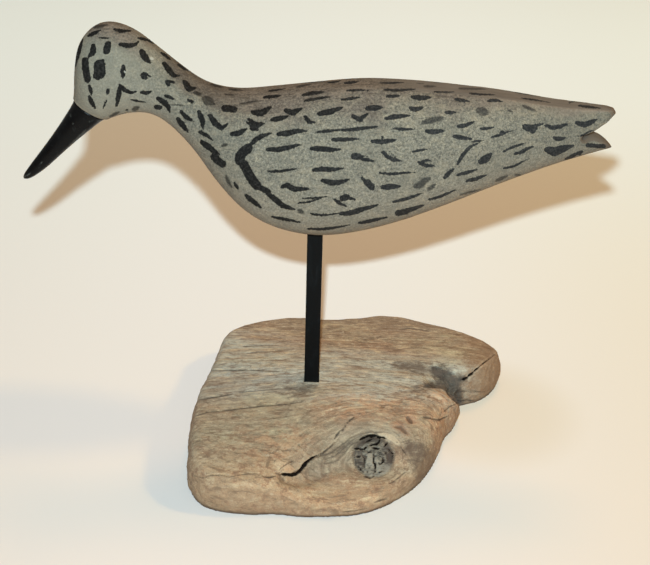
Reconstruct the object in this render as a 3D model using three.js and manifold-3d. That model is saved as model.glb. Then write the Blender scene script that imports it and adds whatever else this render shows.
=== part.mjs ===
// A carved and painted shorebird decoy on a black square bar, standing in a slab of driftwood.
//
// Millimetres, +Z up. The bird faces -X. The origin is on the flat underside of the driftwood,
// straight below the bar. The four pieces are the bird, its bill, the bar and the driftwood.

import * as THREE from 'three';
import { mergeVertices } from 'three/addons/utils/BufferGeometryUtils.js';
import Module from 'manifold-3d';

// Driving dimensions of the bird. Everything carved on it is a share of these.
const BIRD_LENGTH = 295;      // bill tip to tail tip, measured along X with the bill's length below
const BODY_WIDTH = 63;        // across the wings at the widest
const TAIL_NOTCH_LENGTH = 19; // from the tail tips to the root of the notch

// Driving dimensions of the bill, which is butted against the front of the head.
const BILL_LENGTH = 52.8;     // from the joint to the tip, along the bill
const BILL_DROOP = 46;        // degrees below level
const BILL_WIDTH = 16;        // across the joint
const PAINT_STEP = 0.4;       // the head's paint stands this far past the bill all round the joint

// Driving dimensions of the bar between the bird and its base.
const BAR_SIZE = 8;           // side of the square bar
const BAR_EASING = 0.7;       // radius on the bar's four long edges
const BAR_SHOWING = 88.4;     // from the driftwood to the belly
const BAR_IN_BIRD = 25;
const BAR_IN_BASE = 15;
const CLEARANCE = 0.3;        // between any two pieces that meet

// Driving dimensions of the driftwood. Its grain runs along X.
const BASE_LENGTH = 174;      // along X
const BASE_DEPTH = 180;       // along Y
const BASE_THICKNESS = 27.6;  // where the bar goes in
const CROWN_RISE = 2.6;       // how far the top falls from the bar towards its rims
const EDGE_RADIUS = 6;        // how far the worn edge rounds over
const FRONT_RADIUS = 12;      // the same at the right-hand front, where it is worn most
const FRONT_SLOPE = 25;       // degrees, how steeply the top falls away around the knot
const KNOT_WIDTH = 19.5;
const KNOT_LENGTH = 22.6;
const KNOT_RISE = 3;          // how far the knot stands above the floor of its hollow
const KNOT_CROWN = 4;         // from the middle of the ball that rounds the knot to its top
const HOLLOW_LENGTH = 56;
const HOLLOW_WIDTH = 37;
const HOLLOW_DEPTH = 4.5;
const CHANNEL_LENGTH = 22;    // each of the three scoops of the worn channel out of the hollow
const CHANNEL_WIDTH = 10;
const CHANNEL_DEPTH = 6;
const PIT_LENGTH = 42;        // the dark pit between the slab and its right-hand lobe
const PIT_WIDTH = 19;
const PIT_DEPTH = 7;
const NOTCH_WIDTH = 14;       // the gully by which the pit runs out where the lobe branches off
const NOTCH_LENGTH = 24;
const NOTCH_DEPTH = 14;

// How finely the faceted forms are divided.
const RINGS_PER_STATION = 3;
const BODY_SEGMENTS = 13;     // on each half of a ring, from the back to the belly
const BACK_SEGMENTS = 3;      // of those, the ones on the planed strip along the back
const BASE_SEGMENTS = 88;
const BASE_RINGS = 9;

const bellyHeight = BASE_THICKNESS + BAR_SHOWING;

// The bird's stations from the bill joint to the tail. Each is a slice through the carving: the
// point on the back and the point on the throat or belly as [along, up] from the belly above the
// bar, in hundredths of the bird's length, then half the slice's width in hundredths of the
// body's width, and the half width of the planed strip on the back in the same hundredths. The
// first slice is the joint, so it is as wide as the bill.
const birdStations = [
  { back: [-40.7, 22.8], belly: [-34.9, 19.5], half: 50 * BILL_WIDTH / BODY_WIDTH, strip: 0 },
  { back: [-40.4, 24.8], belly: [-34.6, 19.7], half: 17.9, strip: 0 },
  { back: [-40.1, 28.2], belly: [-34.1, 19.9], half: 21.8, strip: 0 },
  { back: [-39.2, 32.2], belly: [-33.5, 20.1], half: 24.2, strip: 0 },
  { back: [-36.9, 35.0], belly: [-32.6, 20.4], half: 25.4, strip: 0 },
  { back: [-34.0, 35.9], belly: [-31.4, 20.7], half: 25.7, strip: 0 },
  { back: [-30.4, 34.8], belly: [-30.1, 20.9], half: 24.9, strip: 0 },
  { back: [-26.7, 32.1], belly: [-28.3, 20.9], half: 23.5, strip: 0 },
  { back: [-23.0, 29.1], belly: [-26.1, 20.1], half: 23.2, strip: 0 },
  { back: [-19.6, 26.6], belly: [-23.5, 18.0], half: 25.7, strip: 0 },
  { back: [-16.3, 25.3], belly: [-20.3, 14.4], half: 31.7, strip: 0 },
  { back: [-12.2, 24.9], belly: [-16.7, 9.2], half: 40.5, strip: 0 },
  { back: [-6.8, 25.5], belly: [-11.7, 3.8], half: 47.3, strip: 2 },
  { back: [0.0, 26.3], belly: [-5.1, 0.6], half: 50.0, strip: 7 },
  { back: [7.5, 27.0], belly: [3.0, 0.0], half: 50.0, strip: 10 },
  { back: [15.3, 26.9], belly: [12.5, 2.3], half: 46.8, strip: 11 },
  { back: [23.1, 26.4], belly: [21.7, 6.0], half: 40.5, strip: 11 },
  { back: [31.2, 25.6], belly: [30.8, 10.1], half: 31.7, strip: 10.5 },
  { back: [39.0, 24.5], belly: [39.0, 13.5], half: 23.0, strip: 10 },
  { back: [45.6, 24.0], belly: [45.6, 15.7], half: 14.3, strip: 8 },
  { back: [49.0, 23.7], belly: [48.8, 16.6], half: 8.7, strip: 5.5 },
  { back: [50.2, 22.8], belly: [49.9, 16.8], half: 5.4, strip: 3 },
];

// The bill's slices from the joint to the tip: how far along in shares of its length, then its
// upper and lower edges and half its width in shares of its width at the joint.
const billStations = [
  { along: 0.0, above: 0.62, below: 0.61, half: 0.5 },
  { along: 0.05, above: 0.55, below: 0.53, half: 0.475 },
  { along: 0.18, above: 0.46, below: 0.475, half: 0.43 },
  { along: 0.33, above: 0.365, below: 0.415, half: 0.36 },
  { along: 0.54, above: 0.26, below: 0.36, half: 0.3 },
  { along: 0.75, above: 0.175, below: 0.33, half: 0.24 },
  { along: 0.9, above: 0.11, below: 0.25, half: 0.18 },
  { along: 0.97, above: 0.06, below: 0.17, half: 0.12 },
  { along: 1.0, above: 0.0, below: 0.08, half: 0.05 },
];

// The driftwood's outline seen from above, as [along, across] in hundredths of its length and
// depth, starting at the tip of the right-hand lobe and going round the back first.
const baseOutline = [
  [63.3, 28.7], [60.8, 32.7], [53.8, 37.4], [46.7, 42.7], [38.5, 46.1], [30.0, 49.9],
  [22.0, 50.3], [14.0, 47.7], [5.5, 46.0], [-5.0, 46.7], [-13.5, 44.9], [-21.5, 41.9],
  [-27.5, 37.1], [-31.0, 31.2], [-32.3, 22.4], [-33.0, 13.8], [-34.5, 5.1], [-36.4, -7.7],
  [-36.8, -20.0], [-35.8, -31.7], [-34.9, -39.3], [-31.8, -44.9], [-26.9, -47.9], [-21.3, -48.9],
  [-15.5, -49.4], [-10.2, -48.8], [-3.0, -49.7], [6.0, -49.4], [14.0, -48.3], [20.5, -45.4],
  [26.8, -40.5], [33.2, -33.3], [37.3, -25.8], [39.8, -19.4], [41.3, -13.8], [43.0, -8.8],
  [46.2, -3.3], [48.0, 2.7], [48.4, 6.7], [48.0, 10.2], [51.5, 11.7], [55.9, 13.9],
  [59.9, 18.4], [62.6, 23.7],
];
const outlineCentre = [14.5, 1.0];

const wasm = await Module();
wasm.setup();

// Turns a closed three.js geometry into a solid for cutting.
function toSolid(geometry) {
  const bare = geometry.clone();
  bare.deleteAttribute('normal');
  bare.deleteAttribute('uv');
  const merged = mergeVertices(bare);
  return new wasm.Manifold(new wasm.Mesh({
    numProp: 3,
    vertProperties: merged.attributes.position.array,
    triVerts: new Uint32Array(merged.index.array),
  }));
}

// Turns a cut solid back into a three.js geometry.
function toGeometry(solid) {
  const mesh = solid.getMesh();
  const geometry = new THREE.BufferGeometry();
  geometry.setAttribute('position', new THREE.BufferAttribute(mesh.vertProperties, 3));
  geometry.setIndex(new THREE.BufferAttribute(mesh.triVerts, 1));
  geometry.computeVertexNormals();
  return geometry;
}

// Skins a row of closed rings that all have as many points, and closes both ends.
function skinRings(rings) {
  const count = rings[0].length;
  const positions = rings.flat().flatMap((point) => [point.x, point.y, point.z]);
  const faces = [];
  for (let ring = 0; ring < rings.length - 1; ring += 1) {
    for (let step = 0; step < count; step += 1) {
      const here = ring * count + step;
      const beside = ring * count + (step + 1) % count;
      faces.push(here, here + count, beside, beside, here + count, beside + count);
    }
  }
  const closeEnd = (ring, first, forward) => {
    const middle = ring.reduce((sum, point) => sum.add(point), new THREE.Vector3());
    middle.divideScalar(count);
    const centre = positions.length / 3;
    positions.push(middle.x, middle.y, middle.z);
    for (let step = 0; step < count; step += 1) {
      const here = first + step;
      const beside = first + (step + 1) % count;
      faces.push(...(forward ? [beside, here, centre] : [here, beside, centre]));
    }
  };
  closeEnd(rings[0], 0, false);
  closeEnd(rings[rings.length - 1], (rings.length - 1) * count, true);
  const geometry = new THREE.BufferGeometry();
  geometry.setAttribute('position', new THREE.Float32BufferAttribute(positions, 3));
  geometry.setIndex(faces);
  geometry.computeVertexNormals();
  return geometry;
}

// A smooth run of values through the stations, read at any place between them.
function smoothRun(stations, read) {
  const points = stations.map((station) => new THREE.Vector3(...read(station)));
  const curve = new THREE.CatmullRomCurve3(points, false, 'catmullrom', 0.5);
  return (share) => curve.getPoint(share);
}

// One slice of the bird. The slice is a rounded oval between the back and the belly, a little
// squarer than an ellipse. Where there is a planed strip the oval is cut level across the back,
// and one of the ring's points lies on the edge of the cut.
function birdRing(back, belly, half, strip) {
  const stripAngle = Math.asin(Math.min(0.95, strip / half));
  const planed = 1 / Math.cos(stripAngle);
  const roundness = 0.93;
  const narrowestBack = 0.32;
  const edgeAngle = Math.max(stripAngle, narrowestBack);
  const ovalHeight = (share) => Math.sign(share) * Math.abs(share) ** roundness;
  const upwards = new THREE.Vector3().subVectors(back, belly);
  const reach = upwards.length() / (1 + planed);
  upwards.normalize();
  const middle = belly.clone().addScaledVector(upwards, reach * planed);
  const side = [];
  for (let step = 0; step <= BODY_SEGMENTS; step += 1) {
    const onBack = step <= BACK_SEGMENTS;
    const angle = onBack
      ? (edgeAngle * step) / BACK_SEGMENTS
      : edgeAngle + ((Math.PI - edgeAngle) * (step - BACK_SEGMENTS)) / (BODY_SEGMENTS - BACK_SEGMENTS);
    const up = Math.min(1, ovalHeight(Math.cos(angle)) * planed) * reach;
    const out = Math.sin(angle) ** roundness * half;
    side.push([out, up]);
  }
  const place = (out, up) => middle.clone().addScaledVector(upwards, up).setY(out);
  const right = side.map(([out, up]) => place(out, up));
  const left = side.slice(1, -1).reverse().map(([out, up]) => place(-out, up));
  return [...right, ...left];
}

const alongBird = BIRD_LENGTH / 100;
const acrossBird = BODY_WIDTH / 100;
const birdPoint = ([along, up]) => [along * alongBird, 0, bellyHeight + up * alongBird];

function carvedBird() {
  const back = smoothRun(birdStations, (station) => birdPoint(station.back));
  const belly = smoothRun(birdStations, (station) => birdPoint(station.belly));
  const widths = smoothRun(birdStations, (station) => [station.half, station.strip, 0]);
  const slices = (birdStations.length - 1) * RINGS_PER_STATION;
  const rings = [];
  for (let slice = 0; slice <= slices; slice += 1) {
    const share = slice / slices;
    const { x: half, y: strip } = widths(share);
    rings.push(birdRing(back(share), belly(share), half * acrossBird, strip * acrossBird));
  }
  return skinRings(rings);
}

// The notch that parts the tail into an upper and a lower lobe. Its floor is arched across the
// bird, so that the top of the lower lobe is rounded. Its outline is in shares of its length,
// back from the tail tips and up from the root of the notch.
function tailNotch() {
  const upperEdge = [[1, 0.02], [0.8, 0.05], [0.56, 0.16], [0.26, 0.36], [0, 0.6], [-0.4, 0.95]];
  const lowerEdge = [[-0.4, -0.85], [0, -0.46], [0.18, -0.26], [0.36, -0.11], [0.56, -0.03], [0.8, -0.01]];
  const root = [49.8, 19.75];
  const crown = 0.16;
  const reach = BODY_WIDTH / 4;
  const slices = 12;
  const [tipX, , rootZ] = birdPoint(root);
  const rings = [];
  for (let slice = 0; slice <= slices; slice += 1) {
    const across = reach * (1 - (2 * slice) / slices);
    const drop = crown * TAIL_NOTCH_LENGTH * (across / (reach / 2)) ** 2;
    const corner = ([before, up], fall) => new THREE.Vector3(
      tipX - before * TAIL_NOTCH_LENGTH,
      across,
      rootZ + up * TAIL_NOTCH_LENGTH - fall,
    );
    rings.push([
      ...upperEdge.map((edge) => corner(edge, 0)),
      ...lowerEdge.map((edge) => corner(edge, drop)),
    ]);
  }
  return skinRings(rings);
}

// A square socket for the bar, from one height to another.
function barSocket(bottom, top) {
  const side = BAR_SIZE + 2 * CLEARANCE;
  const box = new THREE.BoxGeometry(side, side, top - bottom);
  return box.translate(0, 0, (top + bottom) / 2);
}

function birdGeometry() {
  const socketTop = bellyHeight + BAR_IN_BIRD + CLEARANCE;
  const carving = toSolid(carvedBird())
    .subtract(toSolid(tailNotch()))
    .subtract(toSolid(barSocket(bellyHeight - BAR_SHOWING / 2, socketTop)));
  return toGeometry(carving);
}

// The bill runs straight down from the joint, and its slices stay parallel to the joint.
function billGeometry() {
  const [joint] = birdStations;
  const back = new THREE.Vector3(...birdPoint(joint.back));
  const belly = new THREE.Vector3(...birdPoint(joint.belly));
  const across = new THREE.Vector3().subVectors(back, belly).normalize();
  const droop = THREE.MathUtils.degToRad(BILL_DROOP);
  const forward = new THREE.Vector3(-Math.cos(droop), 0, -Math.sin(droop));
  const start = back.clone().add(belly).multiplyScalar(0.5).addScaledVector(forward, CLEARANCE);
  const [widest] = billStations;
  const jointDepth = (back.distanceTo(belly) - 2 * PAINT_STEP) / (widest.above + widest.below);
  const edges = smoothRun(billStations, (slice) => [slice.along, slice.above, slice.below]);
  const widths = smoothRun(billStations, (slice) => [slice.half, 0, 0]);
  const slices = (billStations.length - 1) * 2;
  const segments = 20;
  const rings = [];
  for (let slice = 0; slice <= slices; slice += 1) {
    const share = slice / slices;
    const { x: along, y: above, z: below } = edges(share);
    const half = widths(share).x * (BILL_WIDTH - 2 * PAINT_STEP);
    const middle = start.clone().addScaledVector(forward, along * (BILL_LENGTH - CLEARANCE));
    const ring = [];
    for (let step = 0; step < segments; step += 1) {
      const angle = (2 * Math.PI * step) / segments;
      const up = Math.cos(angle);
      const rise = up * (above + below) / 2 + (above - below) / 2;
      const point = middle.clone().addScaledVector(across, rise * jointDepth);
      ring.push(point.setY(-Math.sin(angle) * half));
    }
    rings.push(ring);
  }
  return skinRings(rings);
}

// The bar is drawn as a square with eased corners and run straight up.
function barGeometry() {
  const half = BAR_SIZE / 2;
  const flat = half - BAR_EASING;
  const outline = new THREE.Shape();
  outline.moveTo(-flat, -half);
  outline.lineTo(flat, -half);
  outline.absarc(flat, -flat, BAR_EASING, -Math.PI / 2, 0);
  outline.absarc(flat, flat, BAR_EASING, 0, Math.PI / 2);
  outline.absarc(-flat, flat, BAR_EASING, Math.PI / 2, Math.PI);
  outline.absarc(-flat, -flat, BAR_EASING, Math.PI, 1.5 * Math.PI);
  const depth = BAR_IN_BASE + BAR_SHOWING + BAR_IN_BIRD;
  const bar = new THREE.ExtrudeGeometry(outline, { depth, bevelEnabled: false, curveSegments: 3 });
  return bar.translate(0, 0, BASE_THICKNESS - BAR_IN_BASE);
}

const alongBase = BASE_LENGTH / 100;
const acrossBase = BASE_DEPTH / 100;

const basePoint = ([along, across]) => new THREE.Vector3(along * alongBase, across * acrossBase, 0);

// How far along a soft rise from one value to another a value lies, from 0 to 1.
function ease(value, from, to) {
  const share = THREE.MathUtils.clamp((value - from) / (to - from), 0, 1);
  return share * share * (3 - 2 * share);
}

// The height of the driftwood's top before anything is worn into it. It is highest at the bar and
// falls away to the front, gently on the left and at the front slope on the right.
function topHeight(x, y) {
  const along = x / alongBase;
  const across = y / acrossBase;
  const right = ease(along, -16, 8);
  const brow = THREE.MathUtils.lerp(-35.8, -25.0, right);
  const slope = Math.tan(THREE.MathUtils.degToRad(FRONT_SLOPE)) * THREE.MathUtils.lerp(0.5, 1, right);
  const past = brow - across;
  const frontFall = slope * acrossBase * (past + Math.hypot(past, 7.1)) / 2;
  const rearFall = 0.06 * BASE_THICKNESS * (Math.max(0, across) / 31) ** 2;
  const lobeFall = 0.145 * BASE_THICKNESS * ease(along, 50, 64);
  const crownFall = CROWN_RISE * ease(Math.hypot(along, across), 5, 38);
  return BASE_THICKNESS - frontFall - rearFall - lobeFall - crownFall;
}

// Stands a geometry that was made around the origin on the sloping top, at a place given as the
// outline's points are, turned in degrees and raised along the way that the top faces there.
function standOnTop(geometry, at, turn, raise) {
  const place = basePoint(at);
  const nearby = 1;
  const rise = topHeight(place.x, place.y);
  const facing = new THREE.Vector3(
    rise - topHeight(place.x + nearby, place.y),
    rise - topHeight(place.x, place.y + nearby),
    nearby,
  ).normalize();
  const tilt = new THREE.Quaternion().setFromUnitVectors(new THREE.Vector3(0, 0, 1), facing);
  geometry.rotateZ(THREE.MathUtils.degToRad(turn)).applyQuaternion(tilt);
  place.setZ(rise).addScaledVector(facing, raise);
  return geometry.translate(place.x, place.y, place.z);
}

// A shallow bowl-shaped cutter: the low part of a ball that is stretched to the bowl's length,
// width and depth.
function scoop(at, length, width, depth, turn) {
  const fullness = 2.2;
  const rimShare = Math.sqrt(1 - ((fullness - 1) / fullness) ** 2);
  const ball = new THREE.SphereGeometry(0.5, 26, 16).rotateX(Math.PI / 2);
  ball.scale(length / rimShare, width / rimShare, 2 * depth * fullness);
  return toSolid(standOnTop(ball, at, turn, (fullness - 1) * depth));
}

// The slab is one skin from the middle of its top, over the worn edge and back under to the
// middle of its flat underside. Each ring is a shrunken copy of the outline.
function driftwoodSkin() {
  const outline = new THREE.CatmullRomCurve3(baseOutline.map(basePoint), true, 'centripetal');
  const rim = outline.getSpacedPoints(BASE_SEGMENTS).slice(0, BASE_SEGMENTS);
  const centre = basePoint(outlineCentre);
  const mostWorn = new THREE.Vector3(0.55, -0.83, 0);
  const rings = [];
  const inwards = (point) => new THREE.Vector3().subVectors(centre, point).normalize();
  const roundOver = (point) => {
    const facing = Math.max(0, -inwards(point).dot(mostWorn));
    return THREE.MathUtils.lerp(EDGE_RADIUS, FRONT_RADIUS, ease(facing, 0.5, 0.9));
  };
  const shoulder = (point) => point.clone().addScaledVector(inwards(point), roundOver(point));
  for (let step = 1; step <= BASE_RINGS; step += 1) {
    rings.push(rim.map((point) => {
      const place = centre.clone().lerp(shoulder(point), step / BASE_RINGS);
      return place.setZ(topHeight(place.x, place.y));
    }));
  }
  const edgeSteps = 5;
  const widestShare = 0.3;
  for (let step = 1; step <= edgeSteps; step += 1) {
    const angle = (Math.PI / 2) * (step / edgeSteps);
    rings.push(rim.map((point) => {
      const inner = shoulder(point);
      const height = topHeight(inner.x, inner.y);
      const place = inner.lerp(point, Math.sin(angle));
      return place.setZ(height * (widestShare + (1 - widestShare) * Math.cos(angle)));
    }));
  }
  const footShare = 0.35;
  rings.push(rim.map((point) => point.clone().addScaledVector(inwards(point), footShare * EDGE_RADIUS)));
  return skinRings(rings);
}

function driftwoodGeometry() {
  const knotPlace = [19.1, -31.2];
  const knot = new THREE.SphereGeometry(0.5, 22, 12).rotateX(Math.PI / 2);
  knot.scale(KNOT_WIDTH, KNOT_LENGTH, 2 * KNOT_CROWN);
  standOnTop(knot, knotPlace, 0, KNOT_RISE - HOLLOW_DEPTH - KNOT_CROWN);
  const channel = [
    scoop([5.6, -36.0], CHANNEL_LENGTH, 1.3 * CHANNEL_WIDTH, 0.6 * CHANNEL_DEPTH, 38),
    scoop([1.4, -39.1], 0.9 * CHANNEL_LENGTH, CHANNEL_WIDTH, CHANNEL_DEPTH, 45),
    scoop([-3.6, -42.9], 0.8 * CHANNEL_LENGTH, 0.8 * CHANNEL_WIDTH, 0.9 * CHANNEL_DEPTH, 20),
  ];
  const pit = scoop([43.2, 2.4], PIT_LENGTH, PIT_WIDTH, PIT_DEPTH, -56);
  const notch = scoop([47.6, 6.8], NOTCH_LENGTH, NOTCH_WIDTH, NOTCH_DEPTH, -12);
  const socket = barSocket(BASE_THICKNESS - BAR_IN_BASE - CLEARANCE, 2 * BASE_THICKNESS);
  let slab = toSolid(driftwoodSkin());
  slab = slab.subtract(scoop(knotPlace, HOLLOW_LENGTH, HOLLOW_WIDTH, HOLLOW_DEPTH, 4));
  slab = slab.add(toSolid(knot).intersect(toSolid(driftwoodSkin())));
  for (const cutter of [...channel, pit, notch, toSolid(socket)]) {
    slab = slab.subtract(cutter);
  }
  return toGeometry(slab);
}

const materials = {
  painted_wood: new THREE.MeshStandardMaterial({ color: 0x8d8a76, roughness: 0.85, metalness: 0 }),
  black_bill: new THREE.MeshStandardMaterial({ color: 0x121212, roughness: 0.35, metalness: 0 }),
  black_bar: new THREE.MeshStandardMaterial({ color: 0x18191a, roughness: 0.5, metalness: 0.4 }),
  driftwood: new THREE.MeshStandardMaterial({ color: 0x927659, roughness: 0.9, metalness: 0 }),
};

function namedMesh(name, geometry, material) {
  const mesh = new THREE.Mesh(geometry, material);
  mesh.name = name;
  return mesh;
}

const decoy = new THREE.Group();
decoy.add(
  namedMesh('bird', birdGeometry(), materials.painted_wood),
  namedMesh('bill', billGeometry(), materials.black_bill),
  namedMesh('stand_bar', barGeometry(), materials.black_bar),
  namedMesh('driftwood_base', driftwoodGeometry(), materials.driftwood),
);

export default decoy;
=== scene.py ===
# %% [markdown]
# # A shorebird decoy on a driftwood base
#
# A carved and painted wooden shorebird stands on a black square bar in a slab of driftwood. The
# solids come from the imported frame: bird, bill, bar and driftwood. This lesson keeps their form
# and adds what the eye reads on the real thing: hand-cut wood, brushed feather marks, a scuffed
# glossy bill, and driftwood with raised grain, splits and a checked knot.

# %% The frame
import math

import bmesh
import bpy
import numpy as np
from mathutils import Matrix, Vector, noise


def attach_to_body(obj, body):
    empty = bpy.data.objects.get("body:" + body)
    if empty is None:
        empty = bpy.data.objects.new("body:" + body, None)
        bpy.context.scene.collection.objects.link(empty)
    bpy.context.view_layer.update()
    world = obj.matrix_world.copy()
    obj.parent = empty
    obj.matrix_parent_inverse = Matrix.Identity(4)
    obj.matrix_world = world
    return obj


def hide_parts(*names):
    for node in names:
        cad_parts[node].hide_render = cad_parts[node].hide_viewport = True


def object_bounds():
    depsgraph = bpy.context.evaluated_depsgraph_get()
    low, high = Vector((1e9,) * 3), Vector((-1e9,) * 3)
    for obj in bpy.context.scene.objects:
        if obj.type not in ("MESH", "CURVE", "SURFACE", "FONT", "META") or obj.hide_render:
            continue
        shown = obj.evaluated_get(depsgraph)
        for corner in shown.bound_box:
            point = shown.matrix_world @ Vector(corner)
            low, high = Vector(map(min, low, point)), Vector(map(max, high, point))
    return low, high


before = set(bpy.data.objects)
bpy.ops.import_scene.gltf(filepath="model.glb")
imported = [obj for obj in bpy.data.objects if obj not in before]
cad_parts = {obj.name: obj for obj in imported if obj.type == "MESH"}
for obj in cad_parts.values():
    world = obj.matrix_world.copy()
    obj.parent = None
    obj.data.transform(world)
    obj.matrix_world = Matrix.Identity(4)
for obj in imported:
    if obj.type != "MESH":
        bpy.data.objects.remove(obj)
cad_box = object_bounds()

MM = 0.001
print("pieces in the frame:", sorted(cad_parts))

# %% [markdown]
# ## The camera
#
# The picture was taken with a short telephoto lens, 27 degrees above level and a little tilted.
# A camera made from those few numbers beats one that is dragged into place by eye, because the
# feather marks are later laid on through the same camera.

# %% Camera
PICTURE_WIDTH = 650
PICTURE_HEIGHT = 565
LENS = 72
SENSOR_WIDTH = 36
CAMERA_PLACE = (5.8 * MM, -607.5 * MM, 395.4 * MM)
LOOKING_DOWN = math.radians(27)
CAMERA_TILT = math.radians(1.63)
NEAREST_SEEN = 10 * MM


def make_camera():
    lens = bpy.data.cameras.new("camera")
    lens.lens = LENS
    lens.sensor_width = SENSOR_WIDTH
    lens.clip_start = NEAREST_SEEN
    camera = bpy.data.objects.new("camera", lens)
    bpy.context.scene.collection.objects.link(camera)
    upright = Matrix.Rotation(math.pi / 2 - LOOKING_DOWN, 4, "X")
    tilted = upright @ Matrix.Rotation(CAMERA_TILT, 4, "Z")
    camera.matrix_world = Matrix.Translation(CAMERA_PLACE) @ tilted
    bpy.context.scene.camera = camera
    return camera


camera = make_camera()
print("camera stands at", [round(value / MM) for value in camera.location], "mm")

# %% [markdown]
# ## Mixing finishes
#
# Every finish is a short recipe of nodes. A few helpers keep the recipes readable: each adds a
# node or two, takes plain values or other nodes' outputs, and hands back its own output. Most of
# a finish is thin coats of one tone, laid over each other where a noise or a measure is high, so
# a list of coats can be mixed by one loop.

# %% Helpers for finishes
MIX_INPUTS = (0, 6, 7)  # the sockets of a colour mix: its factor and its two colours
MIX_OUTPUT = 2


def tint(red, green, blue):
    """A colour as seen on a screen, from 0 to 255, as the plain numbers that shaders use."""
    return tuple(
        ((part / 255 + 0.055) / 1.055) ** 2.4 if part > 10 else part / 255 / 12.92
        for part in (red, green, blue)
    )


class Recipe:
    """The node tree of one finish."""

    def __init__(self, name):
        self.material = bpy.data.materials.new(name)
        self.material.use_nodes = True
        self.tree = self.material.node_tree
        self.shader = self.tree.nodes["Principled BSDF"]

    def give(self, socket, value):
        if isinstance(value, bpy.types.NodeSocket):
            self.tree.links.new(value, socket)
        elif isinstance(value, tuple) and len(value) == 3 and socket.type == "RGBA":
            socket.default_value = (*value, 1)
        else:
            socket.default_value = value

    def add(self, kind, inputs=None, **settings):
        node = self.tree.nodes.new(kind)
        for name, value in settings.items():
            setattr(node, name, value)
        for name, value in (inputs or {}).items():
            self.give(node.inputs[name], value)
        return node

    def place(self):
        return self.add("ShaderNodeNewGeometry").outputs["Position"]

    def normal(self):
        return self.add("ShaderNodeNewGeometry").outputs["Normal"]

    def pull(self, vector):
        return self.add("ShaderNodeSeparateXYZ", {"Vector": vector}).outputs

    def push(self, x, y, z):
        return self.add("ShaderNodeCombineXYZ", {"X": x, "Y": y, "Z": z}).outputs["Vector"]

    def stored(self, name):
        return self.add("ShaderNodeAttribute", attribute_name=name).outputs["Fac"]

    def math(self, operation, first, second=0.0):
        return self.add("ShaderNodeMath", {0: first, 1: second}, operation=operation).outputs[0]

    def plus(self, first, second):
        return self.math("ADD", first, second)

    def times(self, first, second):
        return self.math("MULTIPLY", first, second)

    def stretch(self, vector, factors):
        return self.add("ShaderNodeVectorMath", {0: vector, 1: factors}, operation="MULTIPLY").outputs[0]

    def cloud(self, vector, scale, detail=3.0, roughness=0.55, distortion=0.0):
        settings = {"Scale": scale, "Detail": detail, "Roughness": roughness, "Distortion": distortion}
        return self.add("ShaderNodeTexNoise", {"Vector": vector, **settings}).outputs["Fac"]

    def rise(self, value, start, end, low=0.0, high=1.0):
        sockets = {"Value": value, "From Min": start, "From Max": end, "To Min": low, "To Max": high}
        return self.add("ShaderNodeMapRange", sockets, interpolation_type="SMOOTHSTEP").outputs["Result"]

    def mix(self, factor, first, second, blend="MIX"):
        node = self.add("ShaderNodeMix", data_type="RGBA", blend_type=blend)
        for socket, value in zip(MIX_INPUTS, (factor, first, second)):
            self.give(node.inputs[socket], value)
        return node.outputs[MIX_OUTPUT]

    def two_tones(self, value, start, end, first, second):
        """One tone up to the start of a rise, another past its end."""
        return self.mix(self.rise(value, start, end), tint(*first), tint(*second))

    def coat(self, colour, strength, tone):
        return self.mix(strength, colour, tint(*tone))

    def coats(self, colour, values, coats):
        """Coats in their order: each has its value's name, the value where it starts and where it is
        full, its strength there and its tone."""
        for name, start, end, strength, tone in coats:
            colour = self.coat(colour, self.rise(values[name], start, end, 0, strength), tone)
        return colour

    def bump(self, height, strength, distance):
        sockets = {"Height": height, "Strength": strength, "Distance": distance}
        return self.add("ShaderNodeBump", sockets).outputs["Normal"]

    def patch(self, place, centre, half):
        """A soft oval patch seen from above, 1 in its middle and 0 outside, from sizes in mm."""
        east, north = self.pull(place)[:2]
        aside = self.math("DIVIDE", self.math("SUBTRACT", east, centre[0] * MM), half[0] * MM)
        ahead = self.math("DIVIDE", self.math("SUBTRACT", north, centre[1] * MM), half[1] * MM)
        return self.rise(self.plus(self.times(aside, aside), self.times(ahead, ahead)), 1.0, 0.1)

    def patches(self, place, patches):
        """Several soft oval patches at once."""
        cover = 0.0
        for centre, half in patches:
            cover = self.math("MAXIMUM", cover, self.patch(place, centre, half))
        return cover

    def finish(self, **sockets):
        for name, value in sockets.items():
            self.give(self.shader.inputs[name.replace("_", " ")], value)
        return self.material


print("helpers for finishes ready")

# %% [markdown]
# ## Floor and light
#
# The picture was lit by the camera's own flash, a little above the lens, and by two warm lamps:
# one high up behind the bird and one at its right. The bird's shadow on the floor tells where the
# flash was: lines from the shadow's tips through the bird's tips meet there. The flash is cool
# and small, so its shadow is warm and has a firm edge. Its light is kept from weakening with
# distance and the paper is a little darker in front, which keeps the floor as even as it looks
# in the picture.

# %% Floor and light
FLOOR_SIZE = 12.0
PAPER_NEAR = (0.7, 0.605, 0.57)
PAPER_FAR = (0.89, 0.96, 1.0)
PAPER_RANGE = (-0.3, 0.9)
# a warm tint on the right and a warm oval by the slab's right are painted lamplight, and the darker sides are
# painted shade
PAINTED_WARM_LIGHT = (1.0, 0.965, 0.88)
RIGHT_RANGE = (0.0, 0.25)
RIGHT_FADES = (0.6, 0.1)
PAINTED_SIDE_SHADE = (0.97, 0.98, 0.97)
SIDES_MIDDLE = 0.02
SIDES_RANGE = (0.05, 0.3)
PAINTED_LIGHT_POOL = (0.93, 0.9, 0.83)
LIGHT_POOL_PATCH = ((98, 14), (62, 66))
SKY_COLOUR = (1.0, 0.97, 0.9)
SKY_STRENGTH = 0.25
# each lamp's place in metres, its side in metres, its power in watts and its colour
FLASH = ("flash", (-0.005, -0.6, 0.457), 0.013, 13.5, (0.72, 0.94, 1.0))
ROOM_LAMPS = [
    ("ceiling_lamp", (0.35, 1.25, 2.9), 0.7, 22, (1.0, 0.5, 0.15)),
    ("room_lamp", (1.8, 0.08, 1.68), 0.25, 15, (1.0, 0.65, 0.14)),
]


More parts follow.
